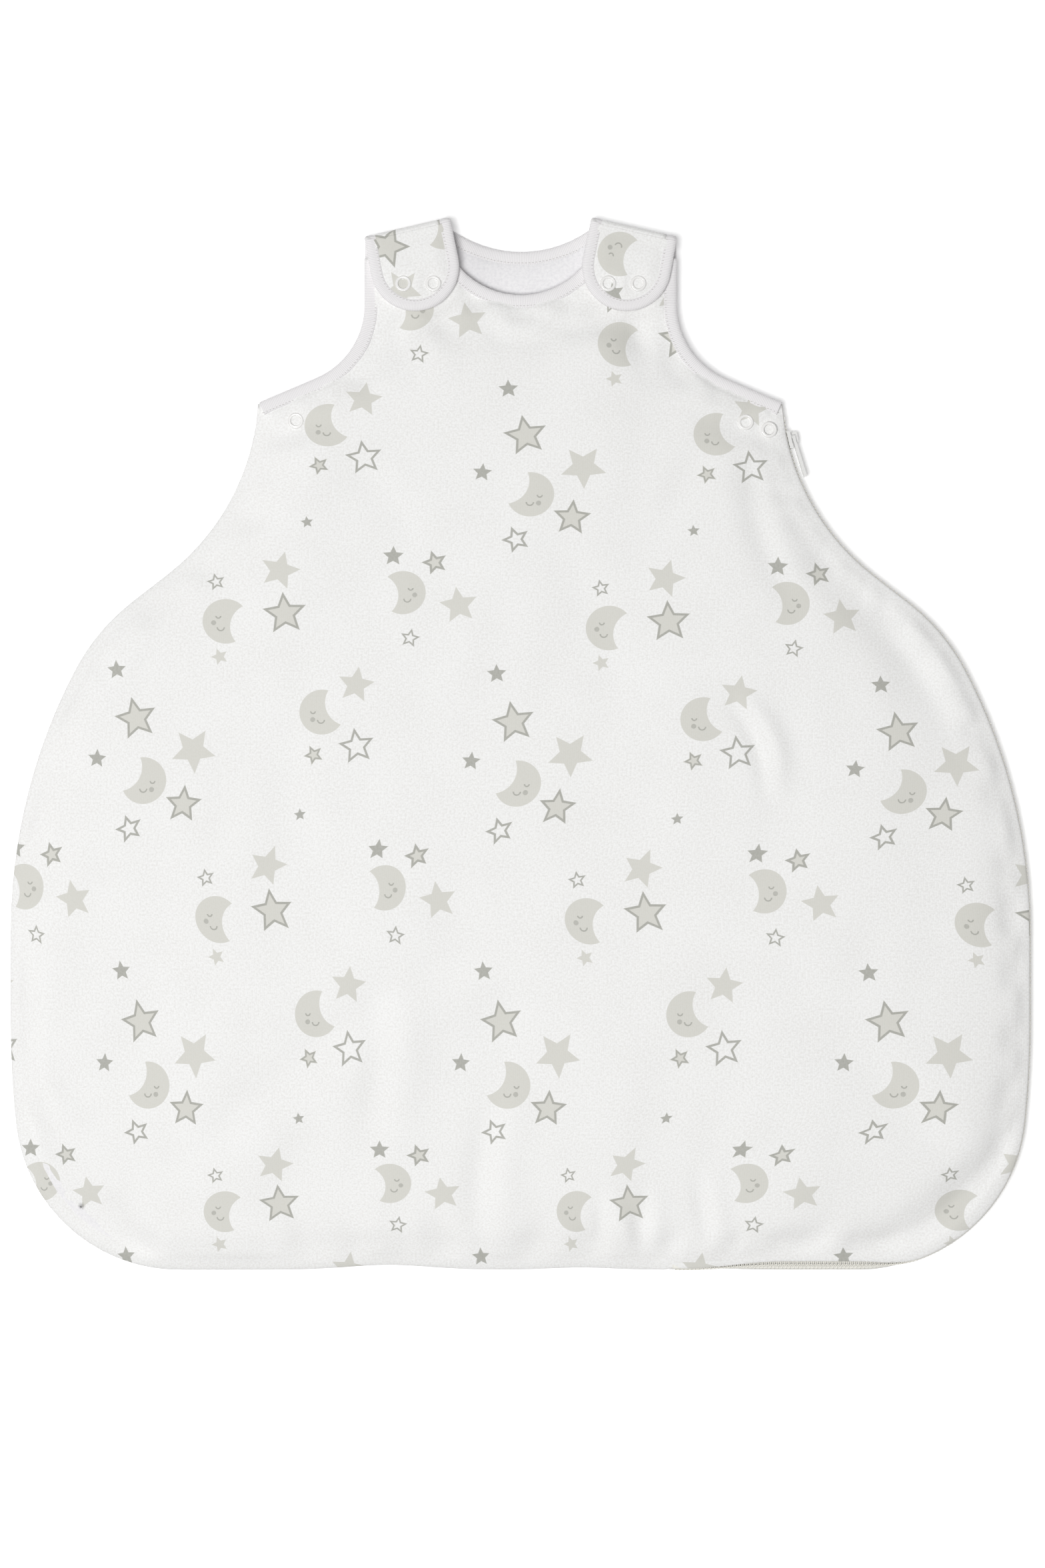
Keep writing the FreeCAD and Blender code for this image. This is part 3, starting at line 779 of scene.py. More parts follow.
# ---- the outline ---------------------------------------------------------------------
@dataclass
class Outline:
    """A panel's outline, read from its CAD layers and grown to its finished edge."""

    loop: Array
    seam_out: float = 1.7 * MM
    zip_out: float = 0.5 * MM
    step: float = 5.0 * MM
    hem_stop_x: float = 0.1005
    hem_drawn: float = 0.0
    hem_rise: float = 3.2 * MM
    runs: list[Run] = field(init=False)

    def __post_init__(self) -> None:
        """Name each run by what closes it, and split the hem where the zip stops."""
        self.runs = []
        for run in split_at_corners(self.loop):
            points = run.points
            if points[:, 1].min() < HEM_LINE:
                fine = run.spaced(0.0005)
                hem = np.nonzero((fine.points[:, 1] < HEM_LINE)
                                 & (fine.points[:, 0] > self.hem_stop_x))[0]
                stop = fine.steps[hem[0]]
                self.runs.append(Run(run.part(0, stop).points, Edge.SEAM))
                self.runs.append(Run(run.part(stop, run.length).points, Edge.ZIP))
            elif run.length < 0.075 and np.abs(points[:, 0]).min() > 0.03:
                self.runs.append(Run(points, Edge.SHOULDER))
            else:
                self.runs.append(Run(points, Edge.BOUND))

    def find(self, kind: Edge, side: int = 0) -> Run:
        """The run of one kind, on the left (-1), on the right (1) or across the middle."""
        for run in self.runs:
            middle = run.points[:, 0].mean()
            if run.kind is kind and (abs(middle) < 0.02 if side == 0 else middle * side > 0.02):
                return run
        raise ValueError(f"no {kind.value} on side {side}")

    def closed(self) -> tuple[Array, Array, Array]:
        """The whole edge.

        Returns:
            Its points, the kind of each as a number, and the vectors into the cloth.
        """
        order = list(Edge)
        points, kinds, inward = [], [], []
        out = {Edge.SEAM: self.seam_out, Edge.ZIP: self.zip_out}
        for run in self.runs:
            even = run.spaced(self.step)
            normal = even.inward()
            shift = out.get(run.kind, 0.0)
            shift = shift - self.hem_rise * hem_bump(even.points)
            if run.kind is Edge.ZIP:
                shift = shift - self.hem_drawn * hem_lift(even.points)
            points.append((even.points - normal * np.reshape(shift, (-1, 1)))[:-1])
            kinds += [order.index(run.kind)] * (len(even.points) - 1)
            inward.append(normal[:-1])
        return np.concatenate(points), np.array(kinds), np.concatenate(inward)


def joined_at_fold(main: Array, corner: Array, start: Vector, axis: Vector) -> Array:
    """Join two panels' outlines into one where a fold line divides them.

    Args:
        main: The outline of the larger panel, counter-clockwise.
        corner: The outline of the corner, counter-clockwise.
        start: A point on the fold line.
        axis: The fold line's direction.

    Returns:
        The outline of both together.
    """
    across = np.array([-axis.y, axis.x])
    parts = []
    for loop in (main, corner):
        away = np.abs((loop - np.array(start[:2])) @ across)
        following = np.roll(loop, -1, 0)
        both = (away < 0.0008) & (np.roll(away, -1) < 0.0008)
        length = np.hypot(*(following - loop).T) * both
        cut = int(np.argmax(length))
        parts.append(np.roll(loop, -(cut + 1), 0))
    return np.concatenate(parts)


# ---- the padded panels -------------------------------------------------------------------
@dataclass
class Quilt:
    """One padded panel: an outer cloth and a lining, closed all round its edge."""

    name: str
    outline: Outline
    outer_level: float
    inner_level: float
    seam_level: float
    edge_levels: dict[Edge, tuple[float, float]]
    edge_reach: dict[Edge, float]
    held: float = 7.6 * MM
    grid: float = 6.5 * MM
    coarse_grid: float = 10.5 * MM
    spare: float = 0.03
    cap: float = 4.0 * MM
    gripped: float = 2.5 * MM
    pressed_reach: float = 11 * MM
    rows_in: tuple[float, ...] = (0.4, 1.4, 3.2, 5.4, 7.5, 8.0, 9.2, 10.8)
    grid_from: float = 12.8 * MM
    points: Array = field(init=False)
    kinds: Array = field(init=False)
    inward: Array = field(init=False)

    def __post_init__(self) -> None:
        """Work out the whole edge."""
        self.points, self.kinds, self.inward = self.outline.closed()

    def nearest(self, place: Array) -> tuple[Array, Array]:
        """The nearest edge point and the distance to the edge, for each place."""
        following = np.roll(self.points, -1, 0)
        best = np.full(len(place), 1e9)
        which = np.zeros(len(place), int)
        for number, (a, b) in enumerate(zip(self.points, following)):
            run = b - a
            share = np.clip((place - a) @ run / max(run @ run, 1e-12), 0, 1)
            gap = np.hypot(*(place - (a + share[:, None] * run)).T)
            closer = gap < best
            best[closer] = gap[closer]
            which[closer] = number
        return which, best

    def inside(self, place: Array) -> Array:
        """Whether each place lies inside the edge."""
        x, y = place.T
        within = np.zeros(len(place), bool)
        for a, b in zip(self.points, np.roll(self.points, -1, 0)):
            spans = (a[1] > y) != (b[1] > y)
            crossing = a[0] + (y - a[1]) * (b[0] - a[0]) / (b[1] - a[1] + 1e-15)
            within ^= spans & (x < crossing)
        return within

    def flat_points(self) -> Array:
        """Points to fill the panel: rows near the edge, and an even grid within."""
        low, high = self.points.min(0), self.points.max(0)
        xs = np.arange(low[0], high[0], self.grid)
        ys = np.arange(low[1], high[1], self.grid * math.sqrt(3) / 2)
        x, y = np.meshgrid(xs, ys)
        x[1::2] += self.grid / 2
        grid = np.stack([x.ravel(), y.ravel()], 1)
        grid = grid[self.inside(grid)]
        grid = grid[self.nearest(grid)[1] > self.grid_from]
        rows = [grid]
        for inset in self.rows_in:
            row = self.points + self.inward * inset * MM
            row = row[self.inside(row)]
            rows.append(row[self.nearest(row)[1] > inset * MM * 0.93])
        return np.concatenate(rows)

    def level(self, which: Array, gap: Array, outer: bool) -> Array:
        """The resting height of the outer cloth or the lining, from the nearest edge point."""
        order = list(Edge)
        edge = np.array([self.edge_levels[order[k]][0 if outer else 1] for k in self.kinds])
        reach = np.array([self.edge_reach[order[k]] for k in self.kinds])
        held = np.where(self.kinds == order.index(Edge.BOUND), self.held, 0.0)
        for _ in range(4):
            edge, reach, held = ((np.roll(v, 1) + 2 * v + np.roll(v, -1)) / 4
                                 for v in (edge, reach, held))
        full = self.outer_level if outer else self.inner_level
        share = np.clip((gap - held[which]) / reach[which], 0, 1)
        rise = np.sqrt(1 - (1 - share) ** 2)
        rise = rise * 0.8 + 0.2 * smoothstep(0, 1, share)
        return edge[which] + (full - edge[which]) * rise

    def settle(self, start: Placer, shape: Placer, pressed: tuple[tuple[float, float], ...]
               ) -> Placer:
        """Let a coarse copy of the panel puff up as cloth held along its edges.

        Args:
            start: The extra height the cloth starts from, with no folds in it.
            shape: The extra height of the finished panel.
            pressed: Places where poppers hold the cloth.

        Returns:
            The same extra height with the movement of the cloth added.
        """
        coarse = Quilt(f"{self.name}_coarse", self.outline, self.outer_level, self.inner_level,
                       self.seam_level, self.edge_levels, self.edge_reach, self.held,
                       self.coarse_grid)
        copy = coarse.build(start, lambda place: place)
        rest = np.array([tuple(v.co) for v in copy.data.vertices])
        gap = coarse.nearest(rest[:, :2])[1]
        hold = gap < self.gripped
        for x, y in pressed:
            hold |= np.hypot(rest[:, 0] - x, rest[:, 1] - y) < self.pressed_reach
        group = copy.vertex_groups.new(name="held")
        group.add([int(i) for i in np.nonzero(hold)[0]], 1.0, "REPLACE")
        cloth = copy.modifiers.new("cloth", "CLOTH")
        setting = cloth.settings
        setting.quality = 6
        setting.mass = 0.2
        setting.tension_stiffness = setting.compression_stiffness = 14
        setting.bending_stiffness = 0.7
        setting.use_pressure = True
        setting.uniform_pressure_force = 4.0
        setting.vertex_group_mass = "held"
        setting.shrink_min = -self.spare
        setting.effector_weights.gravity = 0.0
        cloth.point_cache.frame_start, cloth.point_cache.frame_end = 1, 20
        scene = bpy.context.scene
        for frame in range(1, 21):
            scene.frame_set(frame)
        graph = bpy.context.evaluated_depsgraph_get()
        moved = np.array([tuple(v.co) for v in copy.evaluated_get(graph).data.vertices])
        scene.frame_set(1)
        rise = np.clip(moved[:, 2] - rest[:, 2], -self.cap, self.cap)
        bpy.data.objects.remove(copy)
        middle = (self.outer_level + self.inner_level) / 2
        trees = {}
        for outer in (True, False):
            layer = (rest[:, 2] > middle) == (outer == (self.outer_level > self.inner_level))
            chosen = np.nonzero(layer | (gap < 1 * MM))[0]
            tree = KDTree(len(chosen))
            for i in chosen:
                tree.insert((rest[i, 0], rest[i, 1], 0), int(i))
            tree.balance()
            trees[outer] = tree

        def settled(place: Array, gap: Array, outer: bool) -> Array:
            """The panel's extra height with the cloth's movement."""
            extra = np.zeros(len(place))
            for number, (x, y) in enumerate(place):
                found = trees[outer].find_n((x, y, 0), 7)
                weight = [math.exp(-(f[2] / (self.coarse_grid * 0.75)) ** 2) for f in found]
                extra[number] = sum(w * rise[f[1]] for w, f in zip(weight, found)) / sum(weight)
            log.info("%s settled, %.1f to %.1f mm", self.name, extra.min() / MM,
                     extra.max() / MM)
            return shape(place, gap, outer) + extra * smoothstep(0.001, 0.012, gap)

        return settled

    def build(self, shape: Placer, cloth: Callable[[Array], Array],
              *materials: Material) -> Piece:
        """Build the closed panel.

        Args:
            shape: Takes places, their distances from the edge, and whether they are on the
                outer cloth, and gives extra height.
            cloth: Takes places and gives where they lie on the flat cloth.
            *materials: The outer cloth's material and the lining's.

        Returns:
            The panel.
        """
        fill = self.flat_points()
        count = len(self.points)
        flat = np.concatenate([self.points, fill])
        edges = [(i, (i + 1) % count) for i in range(count)]
        found = delaunay_2d_cdt([Vector(p) for p in flat], edges, [], 1, 1e-6)
        places = np.array([tuple(v) for v in found[0]])
        where = {origins[0]: number for number, origins in enumerate(found[3]) if origins}
        total = len(places)
        up = self.outer_level > self.inner_level
        which, gap = self.nearest(places)
        heights = [self.level(which, gap, outer) + shape(places, gap, outer)
                   for outer in (True, False)]
        vertices = np.concatenate([np.column_stack([places, h]) for h in heights])
        plain = cloth(places)
        faces, corners, slots = [], [], []
        for triangle in found[2]:
            ordered = list(triangle)
            a, b, c = places[ordered]
            if np.cross(b - a, c - a) < 0:
                ordered.reverse()
            upper = ordered if up else ordered[::-1]
            faces.append(tuple(upper))
            faces.append(tuple(i + total for i in reversed(upper)))
            corners += [plain[i] for i in upper] + [plain[i] for i in reversed(upper)]
            slots += [0, 1]
        for a, b in edges:
            i, j = where[a], where[b]
            quad = (i, i + total, j + total, j) if up else (i, j, j + total, i + total)
            faces.append(quad)
            corners += [plain[k % total] for k in quad]
            slots.append(0)
        piece = make_piece(self.name, vertices, faces, corners, *materials)
        for polygon, slot in zip(piece.data.polygons, slots):
            polygon.material_index = slot
        return merged(piece, 1e-5, outward=False)


@dataclass(frozen=True)
class Print:
    """How the printed cloth lies on the bag."""

    turn: float = 0.0
    origin: tuple[float, float] = (0.0, 0.0)
    place: tuple[float, float] = (0.0, 0.0)

    def on_front(self, place: Array) -> Array:
        """The front's cloth, with the few millimetres of stretch from cutting and sewing."""
        x = place[:, 0] / 0.25
        y = (place[:, 1] - 0.0146) / 0.197
        slide = (8.1 + 5.0 * x - 6.3 * x ** 2) * np.clip(y, -1.1, 1.2) + 2.8 * x + 2.5 * x ** 2
        drop = (-4.7 * x - 2.1 * x ** 2) * np.clip(1 + y, 0, 1.3)
        drop = drop - 2.95 * np.clip(y, -1.2, 1.2) - 4.25 * np.clip(y, -1.2, 1.2) ** 2
        drop = drop + 9 * smoothstep(0.24, 0.34, -place[:, 1])
        slide = slide - 7 * np.exp(-((place[:, 1] + 0.095) / 0.04) ** 2)
        slide = slide - 14 * smoothstep(-0.05, 0.1, place[:, 0]) * smoothstep(
            0.235, 0.29, -place[:, 1])
        return place - np.stack([slide, drop], 1) * MM

    def on_strap(self, place: Array) -> Array:
        """A strap's cloth, cut upside down because it comes over from the back."""
        angle = math.radians(self.turn)
        away = place - np.array(self.place) * MM
        x = away[:, 0] * math.cos(angle) + away[:, 1] * math.sin(angle)
        y = -away[:, 0] * math.sin(angle) + away[:, 1] * math.cos(angle)
        return np.stack([x, y], 1) + np.array(self.origin) * MM


@dataclass
class Binding:
    """A ribbed strip folded over a raw edge and sewn down."""

    material: Material
    rib: float = 1.35 * MM
    relief: float = 0.07 * MM
    proud: float = 0.75 * MM
    outside: float = 1.1 * MM
    width: float = 9.0 * MM

    def section(self, thick: Array) -> Array:
        """The strip's closed section at each place.

        Args:
            thick: The cloth's thickness at each place.

        Returns:
            An array of (place, point, two): the distance into the cloth, and the height off
            the middle of its thickness.
        """
        reach, out = self.width - self.outside, self.outside
        shape = [(reach, -0.4), (reach - 0.25 * MM, 0.55), (reach - 1.3 * MM, 0.35),
                 (reach * 0.55, 0.95), (reach * 0.2, 0.9), (-out * 0.2, 0.3), (-out * 0.85, -1.0)]
        half = thick / 2
        top = [(np.full_like(half, inset), half + up * self.proud) for inset, up in shape]
        nose = [(np.full_like(half, -out), half * 0)]
        under = [(inset, -height) for inset, height in reversed(top)]
        return np.array(top + nose + under).transpose(2, 0, 1)

    def along(self, name: str, path: Array, inward: Array, up: Array, thick: float | Array
              ) -> Piece:
        """Sew the strip along an edge.

        Args:
            name: The piece's name.
            path: The edge's points, at the middle of the cloth's thickness.
            inward: Unit vectors into the cloth.
            up: Unit vectors off the cloth's upper face.
            thick: The cloth's thickness at the edge.

        Returns:
            The strip.
        """
        steps = distances(path)
        count = int(steps[-1] / (self.rib / 2))
        places = np.linspace(0, steps[-1], count)
        spread = [np.stack([np.interp(places, steps, part[:, i]) for i in range(3)], 1)
                  for part in (path, inward, up)]
        thickness = np.interp(places, steps, np.broadcast_to(thick, steps.shape))
        waver = 0.12 * MM * np.sin(places / 0.021) + 0.08 * MM * np.sin(places / 0.0083 + 1)
        flat = self.section(thickness)
        centre = flat.mean(1, keepdims=True)
        rib = np.where(np.arange(count) % 2 == 0, self.relief, -self.relief)
        arm = flat - centre
        arm /= np.linalg.norm(arm, axis=2, keepdims=True)
        flat = flat + arm * rib[:, None, None]
        ease = np.array([1, 1, 0.8, 0.3, 0, 0, 0])
        flat[:, :7, 0] += waver[:, None] * ease
        flat[:, -7:, 0] += waver[:, None] * ease[::-1]
        line, into, off = spread
        sections = line[:, None] + flat[:, :, :1] * into[:, None] + flat[:, :, 1:] * off[:, None]
        around = distances(np.concatenate([flat[0], flat[0, :1]]))
        return sweep(name, sections, self.material, places, around)


@dataclass
class Stitching:
    """A row of lockstitches, sunk a little into the cloth."""

    material: Material
    pitch: float = 2.3 * MM
    thread: float = 0.45 * MM

    def one_stitch(self) -> Piece:
        """Model one stitch along +X: a short thread that dips at both ends."""
        length, sides = self.pitch * 0.74, 6
        rows = []
        for share in (-0.5, -0.3, 0.0, 0.3, 0.5):
            sag = -(2 * share) ** 4 * self.thread * 0.9
            thin = self.thread / 2 * (1 - 0.35 * (2 * abs(share)) ** 3)
            angles = np.arange(sides) * 2 * math.pi / sides
            rows.append([(share * length, thin * math.cos(a), sag + thin * math.sin(a))
                         for a in angles])
        steps = np.linspace(0, length, 5)
        around = np.arange(sides + 1) * self.thread / 2
        return sweep("stitch_pattern", np.array(rows), self.material, steps, around)

    def row(self, name: str, path: Array, up: Array) -> Piece:
        """Lay a row of stitches along a line, lying on the cloth."""
        return repeated_along(name, path, up, self.one_stitch(), self.pitch, self.material)


def repeated_along(name: str, path: Array, up: Array, pattern: Piece,
                   pitch: float, material: Material) -> Piece:
    """Repeat a small shape along a line with Geometry Nodes, as one plain mesh.

    Args:
        name: The piece's name.
        path: The line's points.
        up: The direction of the shape's own Z at each point.
        pattern: The shape, with its X along the line. It is removed afterwards.
        pitch: The distance between copies.
        material: The material of every copy.

    Returns:
        The piece.
    """
    faces: list[tuple[int, ...]] = []
    line = bpy.data.meshes.new(name)
    line.from_pydata(path.tolist(), [(i, i + 1) for i in range(len(path) - 1)], faces)
    lean = line.attributes.new("up", "FLOAT_VECTOR", "POINT")
    lean.data.foreach_set("vector", np.asarray(up, dtype=np.float32).ravel())
    holder = bpy.data.objects.new(name, line)
    bpy.context.collection.objects.link(holder)
    tree = bpy.data.node_groups.new(name, "GeometryNodeTree")
    tree.is_modifier = True
    sockets = {}
    for label, kind, way in (("Line", "NodeSocketGeometry", "INPUT"),
                             ("Pitch", "NodeSocketFloat", "INPUT"),
                             ("Shape", "NodeSocketObject", "INPUT"),
                             ("Material", "NodeSocketMaterial", "INPUT"),
                             ("Copies", "NodeSocketGeometry", "OUTPUT")):
        made = tree.interface.new_socket(label, in_out=way, socket_type=kind)
        sockets[label] = made.identifier
    given = node(tree, "NodeGroupInput")
    curve = node(tree, "GeometryNodeMeshToCurve", i0=given["Line"])[0]
    even = node(tree, "GeometryNodeResampleCurve", {"mode": "LENGTH"}, Curve=curve,
                Length=given["Pitch"])[0]
    along = node(tree, "GeometryNodeInputTangent")[0]
    lean_node = node(tree, "GeometryNodeInputNamedAttribute", {"data_type": "FLOAT_VECTOR"},
                     Name="up")
    first = node(tree, "FunctionNodeAlignRotationToVector", {"axis": "X"}, Vector=along)
    second = node(tree, "FunctionNodeAlignRotationToVector",
                  {"axis": "Z", "pivot_axis": "X"}, Rotation=first[0],
                  Vector=lean_node[0])
    shape = node(tree, "GeometryNodeObjectInfo", Object=given["Shape"])
    points = node(tree, "GeometryNodeCurveToPoints", {"mode": "EVALUATED"}, Curve=even)
    copies = node(tree, "GeometryNodeInstanceOnPoints", Points=points[0],
                  Instance=shape["Geometry"], Rotation=second[0])
    solid = node(tree, "GeometryNodeRealizeInstances", i0=copies[0])
    dressed = node(tree, "GeometryNodeSetMaterial", Geometry=solid[0],
                   Material=given["Material"])
    node(tree, "NodeGroupOutput", i0=dressed[0])
    modifier = holder.modifiers.new("copies", "NODES")
    modifier.node_group = tree
    modifier[sockets["Pitch"]] = pitch
    modifier[sockets["Shape"]] = pattern
    modifier[sockets["Material"]] = material
    graph = bpy.context.evaluated_depsgraph_get()
    finished = bpy.data.meshes.new_from_object(holder.evaluated_get(graph))
    holder.modifiers.clear()
    holder.data = finished
    finished.name = name
    bpy.data.objects.remove(pattern)
    return holder


def lifted(run: Run, height: float) -> Array:
    """Stand a plan run at a height."""
    return np.column_stack([run.points, np.full(len(run.points), height)])


def level_frame(run: Run) -> tuple[Array, Array]:
    """The directions into the cloth and upwards along a level run."""
    into = run.inward()
    return (np.column_stack([into, np.zeros(len(into))]),
            np.tile([0.0, 0.0, 1.0], (len(into), 1)))


# ---- sub-assemblies --------------------------------------------------------------------
@dataclass
class Panels:
    """The front and back quilts with their bindings."""

    wardrobe: Wardrobe
    front_edge: Array
    back_edge: Array
    poppers: tuple[tuple[float, float], ...]
    front: Piece = field(init=False)
    back: Piece = field(init=False)
    front_folds: tuple[Fold, ...] = (
        Fold((142, 24), (162, -30), 6.0, -3.2, 1.0, 6),
        Fold((168, 172), (292, 0), 20, -7.0, 0.45, 10),
        Fold((205, 170), (300, 50), 11, 2.6, 0.3, -5),
        Fold((318, 20), (322, -120), 12, -1.8, 0.4, 4),
        Fold((-41, -144), (-215, -271), 15, -3.0, 0.6, -8),
        Fold((-95, -165), (-102, -262), 11, -2.4, 0.6, 4),
        Fold((-20, -236), (-28, -334), 10, -2.8, 0.6, -3),
        Fold((52, -300), (56, -340), 5, -1.9, 0.7),
        Fold((66, -306), (74, -340), 4.5, 1.5, 0.4),
        Fold((82, -298), (80, -340), 5, -1.9, 0.7),
        Fold((118, -290), (126, -338), 5.5, -2.0, 0.7),
        Fold((-150, 205), (-205, 120), 12, -2.0, 0.6, 6),
        Fold((-120, 190), (-70, 130), 12, -1.3, 0.5, 6),
        Fold((150, 190), (176, 100), 10, -2.6, 0.6, -5),
        Fold((128, 196), (96, 150), 10, -1.5, 0.5, -4),
        Fold((300, 66), (324, 70), 4.5, -2.4, 0.5),
        Fold((-300, -60), (-332, -110), 10, -1.6, 0.5),
        Fold((90, 296), (70, 252), 9, -1.6, 0.5, 3),
        Fold((-92, 290), (-72, 250), 9, -1.5, 0.5, -3),
        Fold((-250, 95), (-292, 20), 12, 1.4, 0.3, 5),
        Fold((-270, -250), (-318, -200), 12, -1.8, 0.5, 5),
        Fold((215, -210), (285, -280), 16, -2.0, 0.6, 6),
        Fold((30, 120), (60, 20), 18, -1.2, 0.5, 8),
        Fold((-130, 60), (-160, -60), 18, -1.2, 0.5, -8),
    )

    def smooth_shape(self, place: Array, gap: Array, outer: bool) -> Array:
        """Extra height of the front before it is creased: its soft crown."""
        return 3.0 * MM * smoothstep(0.0, 0.09, gap) * (1.0 if outer else 0.75)

    def front_shape(self, place: Array, gap: Array, outer: bool) -> Array:
        """Extra height of the front: its soft crown, folds and presses round the poppers."""
        crown = 3.0 * MM * smoothstep(0.0, 0.09, gap)
        folds = sum(fold.height(place) for fold in self.front_folds)
        wave = 1.0 * MM * ripple(place, 0.085, 4, stretch=2.6)
        wave = wave + 0.26 * MM * ripple(place, 0.034, 9, stretch=2.6)
        total = crown + (folds + wave) * smoothstep(0.004, 0.03, gap)
        for x, y in self.poppers:
            away = np.hypot(place[:, 0] - x, place[:, 1] - y)
            total = total * smoothstep(RING_EDGE, 0.022, away)
        return total * (1.0 if outer else 0.75)

    def back_shape(self, place: Array, gap: Array, outer: bool) -> Array:
        """Extra height of the back: the lining's soft wrinkles. Its outer face lies flat."""
        if outer:
            return np.zeros(len(place))
        wave = 0.45 * MM * ripple(place, 0.06, 21) + 0.3 * MM * ripple(place, 0.024, 5)
        return (wave + 0.2 * MM) * smoothstep(0.003, 0.02, gap)

    def build_quilts(self) -> None:
        """Build both padded panels."""
        self.front_quilt = Quilt(
            "front_quilt", Outline(self.front_edge, hem_drawn=4.9 * MM), 17.2 * MM, 11.6 * MM,
            8.6 * MM,
            {Edge.SEAM: (8.6 * MM, 8.6 * MM), Edge.ZIP: (12.6 * MM, 11.9 * MM),
             Edge.BOUND: (15.7 * MM, 12.5 * MM), Edge.SHOULDER: (16.6 * MM, 12.2 * MM)},
            {Edge.SEAM: 30 * MM, Edge.ZIP: 40 * MM, Edge.BOUND: 12 * MM,
             Edge.SHOULDER: 8 * MM}, grid=3.8 * MM)
        self.back_quilt = Quilt(
            "back_quilt", Outline(self.back_edge), 0.0, 5.6 * MM, 8.6 * MM,
            {Edge.SEAM: (8.6 * MM, 8.6 * MM), Edge.ZIP: (4.6 * MM, 5.3 * MM),
             Edge.BOUND: (1.0 * MM, 4.4 * MM), Edge.SHOULDER: (0.4 * MM, 5.2 * MM)},
            {Edge.SEAM: 15 * MM, Edge.ZIP: 12 * MM, Edge.BOUND: 10 * MM,
             Edge.SHOULDER: 8 * MM}, grid=5.2 * MM)
        print_lay = Print()
        shape = self.front_shape
        shape = self.front_quilt.settle(self.smooth_shape, shape, self.poppers)
        self.front = self.front_quilt.build(shape, print_lay.on_front,
                                            self.wardrobe.shell, self.wardrobe.lining)
        self.back = self.back_quilt.build(self.back_shape, print_lay.on_front,
                                          self.wardrobe.shell, self.wardrobe.lining)

    def edge_binding(self, name: str, run: Run, level: float, thick: float, stitch_up: float
                     ) -> None:
        """Bind one edge and stitch it down."""
        even = run.spaced(2.0 * MM)
        into, up = level_frame(even)
        strip = Binding(self.wardrobe.rib).along(f"{name}_rib", lifted(even, level), into, up,
                                                 thick)
        fit(strip, "binding", name, body="bag")
        log.info("sewed %s", name)
        line = even.moved(6.5 * MM)
        row = Stitching(self.wardrobe.thread).row(f"{name}_stitches",
                                                  lifted(line, stitch_up), up)
        fit(row, "binding", body="bag")

    def build(self) -> None:
        """Build the quilts and sew on every binding."""
        self.build_quilts()
        front, back = self.front_quilt.outline, self.back_quilt.outline
        for side, word in ((-1, "left"), (1, "right")):
            self.edge_binding(f"armhole_binding_front_{word}", front.find(Edge.BOUND, side),
                              14.1 * MM, 3.2 * MM, 16.02 * MM)
            self.edge_binding(f"armhole_binding_back_{word}", back.find(Edge.BOUND, side),
                              2.7 * MM, 3.4 * MM, 4.75 * MM)
        self.edge_binding("neck_binding_front", front.find(Edge.BOUND), 14.1 * MM, 3.2 * MM,
                          16.02 * MM)
        self.edge_binding("neck_binding_back", back.find(Edge.BOUND), 2.7 * MM, 3.4 * MM,
                          4.75 * MM)


